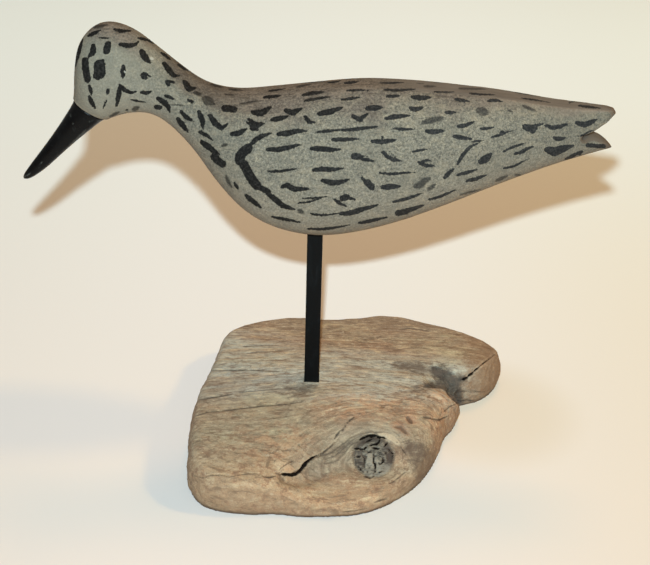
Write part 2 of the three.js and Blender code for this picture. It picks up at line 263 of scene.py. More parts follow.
def paper():
    mixing = Recipe("pale_paper")
    place = mixing.place()
    east, north = mixing.pull(place)[:2]
    colour = mixing.mix(mixing.rise(north, *PAPER_RANGE), PAPER_NEAR, PAPER_FAR)
    # painted light on the paper: warm lamplight on the right and in an oval, painted shade towards both sides
    warm_light = mixing.times(mixing.rise(east, *RIGHT_RANGE), mixing.rise(north, *RIGHT_FADES))
    colour = mixing.mix(warm_light, colour, PAINTED_WARM_LIGHT, "MULTIPLY")
    aside = mixing.math("ABSOLUTE", mixing.math("SUBTRACT", east, SIDES_MIDDLE))
    colour = mixing.mix(mixing.rise(aside, *SIDES_RANGE), colour, PAINTED_SIDE_SHADE, "MULTIPLY")
    colour = mixing.mix(mixing.patch(place, *LIGHT_POOL_PATCH), colour, PAINTED_LIGHT_POOL, "MULTIPLY")
    return mixing.finish(Base_Color=colour, Roughness=0.9, Specular_IOR_Level=0.1)


def make_floor():
    bpy.ops.mesh.primitive_plane_add(size=FLOOR_SIZE)
    floor = bpy.context.object
    floor.name = "floor"
    floor.data.materials.append(paper())


def make_sky():
    sky = bpy.data.worlds.new("room")
    sky.use_nodes = True
    background = sky.node_tree.nodes["Background"]
    background.inputs["Color"].default_value = (*SKY_COLOUR, 1)
    background.inputs["Strength"].default_value = SKY_STRENGTH
    bpy.context.scene.world = sky


def make_lamp(name, place, side, watts, colour):
    """A square lamp that looks at the middle of the object."""
    lamp = bpy.data.lights.new(name, "AREA")
    lamp.size = side
    lamp.energy = watts
    lamp.color = colour
    holder = bpy.data.objects.new(name, lamp)
    bpy.context.scene.collection.objects.link(holder)
    middle = Vector(cad_box[0]) / 2 + Vector(cad_box[1]) / 2
    holder.location = place
    holder.rotation_euler = (holder.location - middle).to_track_quat("Z", "Y").to_euler()
    return lamp


def hold_steady(lamp):
    """Keeps a lamp's light from weakening with distance."""
    lamp.use_nodes = True
    tree = lamp.node_tree
    falloff = tree.nodes.new("ShaderNodeLightFalloff")
    falloff.inputs["Strength"].default_value = 1.0
    tree.links.new(falloff.outputs["Constant"], tree.nodes["Emission"].inputs["Strength"])


make_floor()
make_sky()
hold_steady(make_lamp(*FLASH))
for lamp in ROOM_LAMPS:
    make_lamp(*lamp)
bpy.context.scene.view_settings.view_transform = "Standard"
print("lamps:", [name for name, *_ in (FLASH, *ROOM_LAMPS)])

# %% [markdown]
# ## From faceted solid to carved surface
#
# Each solid is copied, so the frame stays as it is. Welding and pairing its triangles lets
# subdivision round the facets, and a voxel skin then gives an even net of small faces, fine
# enough to carry relief. Working on a copy of the solid keeps the form, which sculpting from
# nothing would have to be fitted to.

# %% Helpers for nets
WELD_REACH = 0.01 * MM
PAIR_ANGLE = math.radians(25)
PAIR_SHAPE = math.radians(60)
FIRM_CREASE = 0.9


def copy_of(node, name):
    """A new piece with a copy of a CAD node's mesh."""
    piece = bpy.data.objects.new(name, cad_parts[node].data.copy())
    bpy.context.scene.collection.objects.link(piece)
    piece.data.materials.clear()
    return piece


def weld(piece, crease_angle):
    """Joins the facets' corners, pairs triangles, and marks the hard edges to be kept."""
    net = bmesh.new()
    net.from_mesh(piece.data)
    bmesh.ops.remove_doubles(net, verts=net.verts, dist=WELD_REACH)
    bmesh.ops.join_triangles(
        net, faces=net.faces, angle_face_threshold=PAIR_ANGLE, angle_shape_threshold=PAIR_SHAPE
    )
    crease = net.edges.layers.float.new("crease_edge")
    for edge in net.edges:
        if len(edge.link_faces) == 2 and edge.calc_face_angle() > crease_angle:
            edge[crease] = FIRM_CREASE
    net.to_mesh(piece.data)
    net.free()


def settle(piece):
    """Turns a piece's modifiers into its mesh."""
    ready = piece.evaluated_get(bpy.context.evaluated_depsgraph_get())
    mesh = bpy.data.meshes.new_from_object(ready)
    piece.modifiers.clear()
    piece.data = mesh


def subdivide(piece, levels):
    piece.modifiers.new("rounding", "SUBSURF").levels = levels
    settle(piece)


def voxel_skin(piece, size):
    skin = piece.modifiers.new("skin", "REMESH")
    skin.mode = "VOXEL"
    skin.voxel_size = size
    settle(piece)
    piece.data.shade_smooth()


def stretch_x(piece, factor):
    piece.data.transform(Matrix.Diagonal((factor, 1, 1, 1)))


def count_triangles(piece):
    piece.data.calc_loop_triangles()
    return len(piece.data.loop_triangles)


print("helpers for nets ready")

# %% [markdown]
# ## Points as numbers
#
# A net of a hundred thousand points is too much to move one by one in a loop, so the points are
# read into one array, reckoned with all at once in millimetres, and written back. Relaxing moves
# each point half way to the middle of its neighbours. A few rounds take out the last facets, and
# many rounds soften a rim.

# %% Helpers for points
def read_numbers(piece, what):
    numbers = np.empty(len(piece.data.vertices) * 3, np.float32)
    piece.data.vertices.foreach_get(what, numbers)
    return numbers.reshape(-1, 3).astype(float)


def read_places(piece):
    return read_numbers(piece, "co") / MM


def read_normals(piece):
    return read_numbers(piece, "normal")


def write_places(piece, places):
    piece.data.vertices.foreach_set("co", (places * MM).astype(np.float32).ravel())
    piece.data.update()


def evened(piece, rounds, hold=None):
    """The places of an evened-out surface. Hold is how firmly each point stays, from 0 to 1."""
    edges = np.empty(len(piece.data.edges) * 2, np.int32)
    piece.data.edges.foreach_get("vertices", edges)
    ends = edges.reshape(-1, 2)
    first = np.concatenate([ends[:, 0], ends[:, 1]])
    second = np.concatenate([ends[:, 1], ends[:, 0]])
    places = read_places(piece)
    count = len(places)
    partners = np.bincount(first, minlength=count)
    give = 0.5 if hold is None else 0.5 * (1 - hold)[:, None]
    for _ in range(rounds):
        sums = [np.bincount(first, places[second, axis], count) for axis in range(3)]
        middle = np.stack(sums, 1) / partners[:, None]
        places += give * (middle - places)
    return places


def relax(piece, rounds, hold=None):
    write_places(piece, evened(piece, rounds, hold))


def attach(piece, name, values):
    """Keeps one number for each point of a piece, for its finish to read."""
    layer = piece.data.attributes.new(name, "FLOAT", "POINT")
    layer.data.foreach_set("value", values.astype(np.float32))


def ease(value, start, end):
    """A soft rise from 0 at start to 1 at end."""
    share = np.clip((value - start) / (end - start), 0, 1)
    return share * share * (3 - 2 * share)


def wander(places, scale, seed):
    """Smooth random values between about -1 and 1 for each place, one swing every scale mm."""
    offset = np.array([seed * 17.3, seed * 5.1, seed * 9.7])
    return np.array([noise.noise(point) for point in places / scale + offset])


print("helpers for points ready")

# %% [markdown]
# ## The carved bird
#
# The real bird is one block, shaped with a knife and rasp and left a little uneven. Its edges
# along the planed back are firm, so they are kept as creases while the rest is rounded. Most
# feather marks run along the body, so the net may be coarser that way: the copy is squeezed
# along X, skinned and pulled out again, which keeps it under two hundred thousand triangles.

# %% Bird surface
BIRD_VOXEL = 0.7 * MM
BIRD_STRETCH = 1.4
BIRD_RELAXING = 6
BACK_EDGE = math.radians(27)
ROUNDING_LEVELS = 2


def make_bird():
    bird = copy_of("bird", "carved_bird")
    weld(bird, BACK_EDGE)
    subdivide(bird, ROUNDING_LEVELS)
    stretch_x(bird, 1 / BIRD_STRETCH)
    voxel_skin(bird, BIRD_VOXEL)
    stretch_x(bird, BIRD_STRETCH)
    relax(bird, BIRD_RELAXING)
    return bird


bird = make_bird()
print("bird:", count_triangles(bird), "triangles")

# %% [markdown]
# ## The paint rim at the bill
#
# Where the bill meets the head, the head's thick paint stands up in a low rim. It follows the
# joint's plane, so it needs only the joint's upper and lower ends seen from the side, and every
# point of the head is lifted by how near it lies to that line. The rim is kept on the points as
# well, for a pale line along it that is a painted highlight on its edge.

# %% Paint rim
# the joint's two ends as x and z, in mm
JOINT_TOP = np.array([-120.1, 183.3])
JOINT_BOTTOM = np.array([-103.0, 173.5])
RIM_BEHIND_JOINT = 0.6
RIM_FALLS = (1.1, 0.2)
RIM_HEIGHT = 0.22
HEAD_ENDS = -95


def raise_rim(piece):
    """The raised rim of head paint round the bill's joint."""
    places, normals = read_places(piece), read_normals(piece)
    run = (JOINT_BOTTOM - JOINT_TOP) / np.linalg.norm(JOINT_BOTTOM - JOINT_TOP)
    ahead = (places[:, [0, 2]] - JOINT_TOP) @ np.array([run[1], -run[0]])
    rim = ease(np.abs(ahead + RIM_BEHIND_JOINT), *RIM_FALLS) * (places[:, 0] < HEAD_ENDS)
    write_places(piece, places + normals * (RIM_HEIGHT * rim)[:, None])
    attach(piece, "rim_highlight", rim)
    return rim


rim = raise_rim(bird)
print("points on the rim:", int((rim > 0).sum()))

# %% [markdown]
# ## Feather marks
#
# The painter laid about two hundred short black dabs in rows from bill to tail: each starts
# blunt where the loaded brush landed and ends thin where it lifted. Blots keep their width, and
# faint marks came from a brush that was almost dry. They are traced from four enlarged views of
# the near side. Each mark is its width and then the points that the brush passed, in a view's own
# units. A view is the picture's pixel at its corner and how many pixels one unit spans.

# %% Traced dabs
HEAD_VIEW = (60, 10, 1.148)
BREAST_VIEW = (160, 60, 1.148)
WING_VIEW = (330, 70, 1.0846)
TAIL_VIEW = (480, 80, 0.957)

head_dabs = [
    (3.5, 25, 22.5, 35.5, 17.5), (3.4, 47.5, 17, 54, 18.2, 62, 18.2), (1.8, 34, 24.3, 44, 24.2),
    (5.6, 29, 31, 28.8, 36.5, 25, 41), (3.6, 25.5, 66, 27.8, 74), (4.2, 25.5, 75.5, 28, 81, 31, 86),
    (3.4, 42.2, 69, 40.8, 74), (2.2, 40.6, 78.5, 37.6, 85.8), (4.6, 52.5, 66, 51, 75, 49, 85),
    (3.8, 52, 65.5, 57, 70, 62, 72, 66.5, 71.2), (2.0, 62, 78, 69, 79.6, 75, 80.5),
    (4.8, 55, 49, 55, 54, 54.5, 59.5), (4.6, 52.5, 30, 60, 31.2, 66, 30, 68.5, 27),
    (6.4, 71, 36, 74.5, 42, 78.5, 46), (5.2, 71.5, 56.5, 76, 60), (2.2, 73, 54.6, 81, 59),
    (3.6, 70.5, 71.6, 76, 72.2, 80, 70.6), (5.2, 90.5, 46.5, 95, 52.5, 99.5, 57.5, 104, 57),
    (3.2, 91, 74.4, 96.5, 76.4, 101.5, 78.4), (5.4, 85.5, 77, 91.5, 81, 94.5, 85, 95.5, 89),
    (5.8, 108.5, 62.5, 112.5, 69, 118, 68), (4.2, 105.5, 88.5, 110, 93.5, 116.5, 97),
    (5.0, 102.5, 94.6, 107, 100.5, 111.6, 106.5), (5.2, 121, 88.5, 124, 96, 124.5, 104),
    (5.6, 130.5, 92, 135.5, 99, 140.5, 103, 146, 99), (5.0, 18.5, 26, 15.8, 36, 13.8, 44, 13.4, 49),
    (2.6, 68, 24.3, 76, 26, 83.5, 29.5), (3.0, 88.5, 37.5, 97, 43.5), (3.0, 103, 47.5, 111.5, 53),
]
head_blots = [
    (3.8, 93.4, 62.6, 94.6, 65), (2.4, 95, 62, 99, 63), (4.4, 83.8, 84.4, 87, 84.8),
    (3.0, 112, 78.6, 115.6, 80.2), (1.6, 57.6, 87.2, 59, 87.4), (6.4, 41.8, 30, 40.6, 35.5),
    (6.2, 22, 44, 22, 50, 24, 60.5), (10.6, 34.6, 48.5, 34.4, 55), (4.0, 36.8, 44.5, 37, 47),
    (4.0, 30.5, 57.5, 33, 59.5), (6.2, 143.5, 85.6, 151.5, 86.6),
]
head_faint = [
    (4.0, 64, 86.5, 69, 84.5), (3.4, 117, 72, 124, 74), (8.0, 126, 77.5, 134, 82),
    (2.4, 131.5, 64.8, 142, 67.6), (3.0, 30, 15, 41, 13), (2.4, 44, 92.5, 52, 88.5),
    (1.2, 96, 82, 110, 83.6),
]
breast_dabs = [
    (3.8, 34.5, 62.5, 41, 66, 46, 69.8), (5.6, 36.5, 71.5, 44, 77, 51.5, 82.5), (3.0, 65, 107, 68.5, 113),
    (4.6, 75, 118, 81, 123, 88.5, 129), (6.0, 81, 45.5, 88, 46.5, 93, 43.5, 97, 40.3),
    (5.4, 62.5, 64.5, 68, 64, 75.3, 60), (6.4, 77, 52.4, 80, 56), (9.6, 80.6, 56, 84.8, 60.6),
    (4.2, 84, 56.6, 91, 55), (4.8, 97.5, 52, 104, 51.2, 112, 48.6),
    (5.4, 109.5, 43.8, 116, 46, 123.5, 42.2), (4.2, 126.5, 49.5, 130, 54, 135, 54.3),
    (5.6, 138.5, 46.8, 148, 45, 159, 41.3), (5.4, 103, 64.5, 112, 63.8, 120, 61.8, 127.5, 62),
    (4.8, 93.5, 78, 103, 78, 115, 75.5, 123.5, 73.5), (5.2, 132, 77.2, 142, 77.4, 150, 78.3, 157, 77.8),
    (2.6, 93.5, 97, 105, 97, 115, 95.2, 122.5, 94), (4.6, 133.5, 96, 142, 95, 150, 95.5, 160, 94.2),
    (5.2, 141.5, 105, 149, 106.8, 156, 106.6, 165, 104),
    (5.0, 106.5, 110.5, 110.5, 108.8, 117, 112.6, 130.5, 112.2), (1.8, 124, 120.6, 135, 120.2, 146, 119),
    (2.0, 120.5, 124.5, 130, 123.6, 140, 120.6), (2.4, 131, 134, 141, 135, 150, 134.4),
    (3.0, 97.5, 136.5, 108, 138.6, 123, 141.6), (2.6, 128.5, 147, 140, 147.4, 150, 146.4, 166, 143.5),
    (1.8, 95, 27, 102, 26.2, 109, 25), (3.2, 90.5, 32.6, 96, 32, 106, 31),
    (3.8, 124.5, 30.5, 134, 28.6, 143, 28), (3.0, 126, 35.6, 137, 33.6, 148.5, 32),
    (2.0, 146, 19.6, 151, 19.2, 157.5, 18.1), (4.4, 79, 73.5, 82, 70.3, 88, 66.6, 97.5, 63.6),
    (5.2, 94, 116.5, 100, 121, 107, 127, 117.5, 130.3),
]
breast_blots = [
    (6.8, 47, 84.5, 51, 88, 54.5, 90.5), (8.8, 76.5, 77, 72, 80.5, 69.5, 84, 69.5, 87.5),
    (8.4, 73, 91, 76, 97, 80, 104, 84, 109), (5.2, 85, 110.5, 90, 112.5, 94, 114.5),
]
breast_faint = [
    (2.6, 54, 75, 60, 73), (2.8, 57.5, 101, 60, 107, 62.5, 111), (4.0, 121, 131, 125, 133.3),
    (2.4, 119.5, 23.3, 126, 21.7, 132, 20.6), (1.8, 70, 38, 80, 36.5, 90, 35.4), (1.8, 57, 30, 66, 30.5),
    (1.8, 60, 25.5, 72, 26.5),
]
wing_dabs = [
    (2.8, 13.5, 12, 20, 11.6, 27, 10.4), (2.0, 45.5, 12, 57, 12, 70, 11.2),
    (2.4, 15.5, 19, 26, 18.6, 36.5, 19), (2.9, 50, 18.2, 63, 18.8, 79, 17.6),
    (2.0, 96, 20.2, 106, 20.4, 115, 20.2), (2.2, 129, 21.6, 140, 22.5, 152, 22.8),
    (3.0, 10.8, 27.2, 19, 26.4, 28, 25.2), (3.4, 52.5, 24.2, 58, 24, 64.5, 23.8),
    (5.2, 76, 25, 84, 25.8, 93.4, 25.2), (3.6, 115.5, 27, 121.5, 28, 128.5, 29),
    (5.8, 34.2, 35.2, 41, 35, 48.6, 34.4), (4.8, 74, 35.2, 79, 36.4, 86, 34.2),
    (3.6, 106, 39, 111, 39.5, 117, 38.6), (3.8, 20.8, 41.6, 25, 46), (3.8, 26.5, 46, 31, 42.8, 36, 39.8),
    (4.8, 51.5, 44.6, 61, 43, 73.5, 42), (4.4, 118, 52, 124, 51.4, 133, 47.8),
    (2.8, 138, 54, 144, 54.2, 152, 52.6), (3.0, -12.5, 57.2, 0, 56, 15, 55),
    (3.8, 12, 55.6, 26, 54.4, 45.5, 52), (3.0, 58.8, 54, 68, 54.6, 79, 54.6),
    (5.0, 89, 56.5, 96.5, 57, 106, 55.8), (4.4, 114.5, 61, 121, 62.4, 131, 63.6),
    (4.4, 2, 64, 12, 64.2, 26.5, 63.6), (4.8, 39, 65.6, 48, 66.2, 62, 64.4),
    (3.4, 26, 80.4, 32, 82.6, 42, 84.2), (1.6, 28, 79, 37, 80.2),
    (4.0, 48.6, 75.8, 52.4, 79.4, 58, 82.8, 66, 83.8), (1.5, 53.6, 73.6, 57.4, 77.6, 61.4, 81),
    (2.8, 76.5, 75.4, 83, 73.8, 90, 73), (3.8, 81.5, 85, 88, 88, 97, 88.6),
    (2.6, 84, 84.2, 90, 83.2, 95.4, 84.2), (3.8, 117.8, 86.5, 123, 77.5, 128.5, 71.5, 137.5, 67),
    (2.0, 131, 66, 142, 65), (4.2, 105.5, 99.3, 110, 94.6, 114.5, 91),
    (3.3, 117, 96.8, 126, 94.6, 136.5, 91.4), (7.6, 139, 84.6, 143.4, 82, 148.5, 77),
    (3.8, 126, 102.2, 134, 100.6, 144.5, 96.6), (2.8, 46, 94.8, 55, 96, 66, 95, 79, 94.4),
    (3.4, 28.6, 97.4, 31, 101.5, 36, 107.4, 42, 111.5), (5.6, 48, 108, 56, 107.6, 65, 107.2),
    (3.2, 14, 117, 24, 119.8), (3.2, 4, 119.2, 9, 123.2, 15.5, 125.8), (1.6, 0, 133.2, 12, 131.6),
    (5.2, 10, 132.4, 17, 132.4, 27, 129.2, 44.5, 124.4), (3.3, 58.5, 121.5, 70, 119, 86, 113.2),
    (2.8, 91, 119.6, 101, 117, 117, 110), (4.6, 66, 130.8, 78, 127.6, 86.5, 124.5),
    (3.6, 27, 141, 36, 139.4, 53, 135.6),
]
wing_blots = [
    (4.4, 21.8, 42.8, 25, 44.6), (5.0, 25.6, 45.2, 28.4, 46), (6.4, 22.6, 79.6, 26, 79.8),
    (2.6, 49, 75.2, 51, 76.8), (6.4, 34.4, 103.6, 38.4, 107.6), (6.4, 12, 118, 15, 117.2),
    (5.8, 62.6, 131.8, 70, 130.6), (2.2, 48.4, 61.6, 48.8, 63.4),
]
wing_faint = [
    (1.8, 80, 11.5, 87, 12), (1.8, 86.5, 15, 97.5, 15.2), (1.8, 119, 17, 145, 17.6),
    (8.2, 137.4, 37.4, 142, 38.8, 145, 39.8), (5.4, 86, 48.4, 93, 46.8, 104, 44),
    (6.4, 79, 107.2, 83, 106, 88, 101.4, 92.5, 99.5), (4.2, 91, 110, 97, 105.4),
    (1.8, 120, 115, 139, 110),
]
tail_dabs = [
    (3.8, 8.5, 21.8, 15, 21.2, 23.5, 22.6), (1.8, 43, 19, 56, 20.6, 74, 23.6),
    (1.6, 93, 24, 98, 22.2, 109, 22.6), (2.8, 103.5, 26.6, 111, 27.8, 127, 29.6),
    (6.2, 101, 44.5, 109, 47, 115, 44.5, 122.5, 41.2), (5.0, 69, 47.6, 76, 50, 83, 48.6, 92.5, 46),
    (6.6, 46, 48, 53, 53), (4.4, 50, 50.5, 58, 48, 66.5, 45.6),
    (3.0, 12.5, 59.6, 20, 58, 27, 54.6, 34.5, 53), (5.4, 21.5, 55, 25, 55),
    (3.0, 24.8, 74.4, 35, 69.8, 48.5, 65.4), (4.2, 36.5, 77, 43, 75.6, 49, 72, 56.5, 69),
    (4.8, 77.5, 60.4, 82, 62, 89.5, 60), (9.0, 70, 73, 77, 75.4, 85, 72.4, 97, 68.6),
    (4.2, 90, 82.6, 98, 78.6, 105.5, 74.2), (2.5, 24.5, 92.6, 36, 89.8, 51.5, 82),
    (2.0, -4, 103, 8, 98.6),
]
tail_blots = [
    (4.6, 112.5, 68.2, 120, 68.8, 129.5, 69.2), (6.4, 47.4, 49.4, 57.4, 49.8), (5.4, 52.6, 52, 55, 53.6),
    (4.4, 103.4, 46, 111, 47), (7.0, 72, 72.6, 82, 74.4), (3.4, 106, 75, 104, 77.6),
]
# a painted shadow along the lower lip of the tail's notch, under the upper lip
tail_notch_shadow = [(1.9, 98.5, 58.4, 103.7, 58.8, 108.9, 57.1, 112.8, 54.3, 118, 52.7, 122.6, 55.2)]
# browner on the lower lip of the tail's notch
tail_lip_brown = [(8.6, 108.6, 62.4, 119.5, 59, 130, 63.6, 137, 69)]
tail_faint = [
    (2.6, 29.5, 31.5, 34, 33.5), (3.2, 44.5, 26.5, 51, 29.5, 59.5, 33),
    (3.6, 17, 105.2, 22, 103, 29, 99.8), (2.4, 37, 99.2, 43, 99.6),
]
# pale dots on the dabs: painted glints
head_glints = [(1.4, 56.2, 53.4, 57, 54.6), (2.6, 79.6, 42, 80.4, 42.6), (1.0, 47.8, 36.8, 48.6, 37.2)]
breast_glints = [(1.2, 75.4, 52, 76.8, 53.6)]
TRACINGS = [
    (HEAD_VIEW, "dab", head_dabs), (HEAD_VIEW, "blot", head_blots), (HEAD_VIEW, "faint", head_faint),
    (BREAST_VIEW, "dab", breast_dabs), (BREAST_VIEW, "blot", breast_blots),
    (BREAST_VIEW, "faint", breast_faint), (WING_VIEW, "dab", wing_dabs), (WING_VIEW, "blot", wing_blots),
    (WING_VIEW, "faint", wing_faint), (TAIL_VIEW, "dab", tail_dabs), (TAIL_VIEW, "blot", tail_blots),
    (TAIL_VIEW, "split", tail_notch_shadow), (TAIL_VIEW, "lip_brown", tail_lip_brown), (TAIL_VIEW, "faint", tail_faint),
    (HEAD_VIEW, "chip_and_glint", head_glints), (BREAST_VIEW, "chip_and_glint", breast_glints),
]
print("traced marks:", sum(len(marks) for *_, marks in TRACINGS))

# %% [markdown]
# ## From the picture to the surface
#
# Painting onto a net of points needs one number for each: how far inside a mark it lies, in
# millimetres. So each point is looked at through the scene's camera, and its distance from the
# traced path is measured in the picture. A finish later cuts that number at zero with some
# noise, which gives a brushed edge that stays sharp from close by. A painted picture wrapped
# round the bird would need no net this fine, but it would blur there.

# %% Marks through the camera
FOCAL_PIXELS = PICTURE_WIDTH * LENS / SENSOR_WIDTH
VIEWER = np.array(CAMERA_PLACE) / MM
OUTSIDE = -6.0
FAR_AWAY = 1e3
LANDING_SHARE = 0.25
LIFTING_STARTS = 0.4


def seen_at(places, camera_matrix):
    """Where places in mm show in the picture, in pixels, and how many mm one pixel spans there."""
    into_camera = np.array(camera_matrix.inverted())
    local = places * MM @ into_camera[:3, :3].T + into_camera[:3, 3]
    depth = -local[:, 2]
    across = PICTURE_WIDTH / 2 + FOCAL_PIXELS * local[:, 0] / depth
    down = PICTURE_HEIGHT / 2 - FOCAL_PIXELS * local[:, 1] / depth
    return np.stack([across, down], 1), depth / MM / FOCAL_PIXELS


def facing(places, normals, viewer):
    """How squarely the surface faces a viewer, from 1 to -1."""
    ways = viewer - places
    return np.sum(ways * normals, 1) / np.linalg.norm(ways, axis=1)


def path_in(view, numbers):
    """A traced path in the picture's pixels."""
    corner_x, corner_y, unit = view
    return np.array(numbers, float).reshape(-1, 2) * unit + (corner_x, corner_y)


def brush_width(share, kind):
    """How wide a mark is along its length, as a share of its full width."""
    if kind == "blot":
        return np.ones_like(share)
    if kind == "split":
        return np.clip(4 * share * (1 - share), 0, 1) ** 0.6
    landing = 0.7 + 0.3 * np.clip(share / LANDING_SHARE, 0, 1)
    lifting = 1 - 0.7 * np.clip((share - LIFTING_STARTS) / (1 - LIFTING_STARTS), 0, 1) ** 1.8
    return landing * lifting


def inside_dab(points, path, width, kind):
    """How far inside a mark each point lies, in the units of its path."""
    steps = np.diff(path, axis=0)
    lengths = np.linalg.norm(steps, axis=1)
    total = lengths.sum()
    best = np.full(len(points), -FAR_AWAY)
    done = 0.0
    for start, step, length in zip(path, steps, lengths):
        along = np.clip((points - start) @ step / length**2, 0, 1)
        gap = np.linalg.norm(points - start - along[:, None] * step, axis=1)
        share = (done + along * length) / total
        best = np.maximum(best, width / 2 * brush_width(share, kind) - gap)
        done += length
    return best


def lay_marks(spots, scale, view, marks, kind, margin=4):
    """How far inside any of a view's traced marks each spot of the picture lies, in mm."""
    inside = np.full(len(spots), OUTSIDE)
    for width, *numbers in marks:
        path = path_in(view, numbers)
        reach = width * view[2] + margin
        near = np.all((spots > path.min(0) - reach) & (spots < path.max(0) + reach), 1)
        chosen = np.flatnonzero(near)
        depth = inside_dab(spots[chosen], path, width * view[2], kind) * scale[chosen]
        inside[chosen] = np.maximum(inside[chosen], depth)
    return inside


print("one pixel at the origin spans", seen_at(np.zeros((1, 3)), camera.matrix_world)[1].round(2)[0], "mm")

# %% [markdown]
# ## Laying the marks on the bird
#
# The tracing is thrown onto the near side from the camera, like a slide, and onto the far side
# from the camera's mirror image, a little shifted, as a painter's two sides never match. The
# sides meet along a wavy line on the back. What neither camera sees gets dabs of its own,
# scattered along the body.

# %% Dabs on the surface
MIRROR = np.array([1, -1, 1])
SIDES_MEET = 5.0
MEETING_SWING = 1.5
MEETING_WAVE = 9
MEETING_FADE = 1.5
MEETING_GAP = 1.2
SQUARE_ENOUGH = 0.1
SHIFT_STARTS = (150, 260)
SHIFT_ACROSS = (5, 5, 17)
SHIFT_DOWN = (2.5, 23)
SCATTER_SEED = 4
BAR_FREE_HALF = 9
BAR_FREE_TOP = 125
FLANK_SPREAD = 7.5
BELLY_SPREAD = 11
BELLY_SLOPE = -0.6
BRUSH_WAY = np.array([1.0, 0.0, 0.25])
SCATTER_LENGTHS = (4.5, 8.5)
SCATTER_WIDTHS = (1.6, 2.8)


def trace_bird(spots, scale, shown):
    """The four layers of traced marks on one side of the bird, as depths inside a mark in mm."""
    layers = {}
    for view, kind, marks in TRACINGS:
        layer = kind if kind in ("faint", "chip_and_glint", "lip_brown") else "ink"
        brush = "blot" if kind in ("chip_and_glint", "lip_brown") else kind
        inside = np.where(shown, lay_marks(spots, scale, view, marks, brush), OUTSIDE)
        layers[layer] = np.maximum(layers.get(layer, OUTSIDE), inside)
    return layers


def shift_body(spots):
    """Shifts the far side's body in the picture, in slow waves, so that its marks lie differently."""
    body = ease(spots[:, 0], *SHIFT_STARTS)
    shift, swing, wave = SHIFT_ACROSS
    spots[:, 0] += body * (shift + swing * np.sin(spots[:, 1] / wave))
    swing, wave = SHIFT_DOWN
    spots[:, 1] += body * swing * np.sin(spots[:, 0] / wave)


def scatter_dabs(places, normals, unseen, ink):
    """Own dabs where neither camera looks: on the throat, the breast's front and the belly."""
    chance = np.random.default_rng(SCATTER_SEED)
    candidates = np.flatnonzero(unseen)
    chance.shuffle(candidates)
    taken = []
    for index in candidates:
        spot = places[index]
        if max(abs(spot[0]), abs(spot[1])) < BAR_FREE_HALF and spot[2] < BAR_FREE_TOP:
            continue
        spread = FLANK_SPREAD if normals[index][2] > BELLY_SLOPE else BELLY_SPREAD
        if any(np.linalg.norm(spot - other) < spread for other in taken):
            continue
        taken.append(spot)
        along = BRUSH_WAY - normals[index] * (BRUSH_WAY @ normals[index])
        along /= max(np.linalg.norm(along), 0.2)
        length = chance.uniform(*SCATTER_LENGTHS)
        path = np.array([spot, spot + along * length])
        close = np.flatnonzero(np.linalg.norm(places - spot - along * length / 2, axis=1) < length)
        depth = inside_dab(places[close], path, chance.uniform(*SCATTER_WIDTHS), "dab")
        ink[close] = np.maximum(ink[close], np.where(unseen[close], depth, OUTSIDE))


def paint_dabs(piece):
    places, normals = read_places(piece), read_normals(piece)
    meeting = SIDES_MEET + MEETING_SWING * np.sin(places[:, 0] / MEETING_WAVE)
    near_side = places[:, 1] < meeting
    square_near = facing(places, normals, VIEWER)
    square_far = facing(places, normals, VIEWER * MIRROR)
    spots, scale = seen_at(places, camera.matrix_world)
    near = trace_bird(spots, scale, near_side & (square_near > SQUARE_ENOUGH))
    spots, scale = seen_at(places * MIRROR, camera.matrix_world)
    shift_body(spots)
    far = trace_bird(spots, scale, ~near_side & (square_far > SQUARE_ENOUGH))
    fade = MEETING_FADE * ease(np.abs(places[:, 1] - meeting), MEETING_GAP, 0)
    layers = {name: np.where(near_side, near[name], far[name]) - fade for name in near}
    unseen = np.where(near_side, square_near, square_far) < SQUARE_ENOUGH
    scatter_dabs(places, normals, unseen, layers["ink"])
    for name, values in layers.items():
        attach(piece, name, values)
    return layers["ink"]


ink = paint_dabs(bird)
print("share of the bird that is black:", round(float((ink > 0).mean()), 3))

# %% [markdown]
# ## The bird's paint
#
# The ground is grey-green with fine sand or dry pigment in it, browner on the crown, nape and
# back, and almost bare on the planed strip and the tail tips. The black dabs go over it, and are
# greyer towards the tail. The grains are noise at several sizes, and the brown follows how far
# the surface faces up, so that no edge between the paints has to be drawn. That brown is partly
# the paint and partly painted shade on the surfaces that face up.

# %% Bird paint
BIRD_TONE = (0.71, 0.64, 0.655)
# each coat: the value it follows, where it starts and is full, its strength and its tone
SANDY_COATS = [
    ("specks", 0.5, 0.66, 0.8, (194, 186, 158)),
    ("specks", 0.46, 0.34, 0.7, (72, 70, 63)),
    ("patches", 0.42, 0.7, 0.3, (118, 116, 102)),
    ("tones", 0.5, 0.68, 0.35, (184, 174, 146)),
    ("tones", 0.47, 0.32, 0.3, (98, 100, 90)),
    ("upward", 0.1, -0.7, 0.22, (196, 190, 168)),
    ("along", 70 * MM, 140 * MM, 0.25, (92, 92, 82)),
    ("along", -20 * MM, -50 * MM, 0.2, (88, 88, 78)),
    ("along", -60 * MM, -95 * MM, 0.35, (172, 172, 152)),
]
BROWN_COATS = [
    ("tones", 0.45, 0.65, 0.4, (158, 146, 128)),
    ("streaks", 0.5, 0.64, 0.5, (72, 66, 58)),
]
REAR_COAT = ("along", 60 * MM, 110 * MM, 0.45, (166, 156, 138))
NAPE_STARTS = (-88 * MM, -70 * MM)
NAPE_ENDS = (-30 * MM, -52 * MM)
PLANED_SLOPE = (0.95, 0.985)
PLANED_STARTS = (20 * MM, 60 * MM)
TAIL_TIP = (141 * MM, 147 * MM)
TIP_RAGGED = 3 * MM
DABS_WEAR = (-40 * MM, 70 * MM)


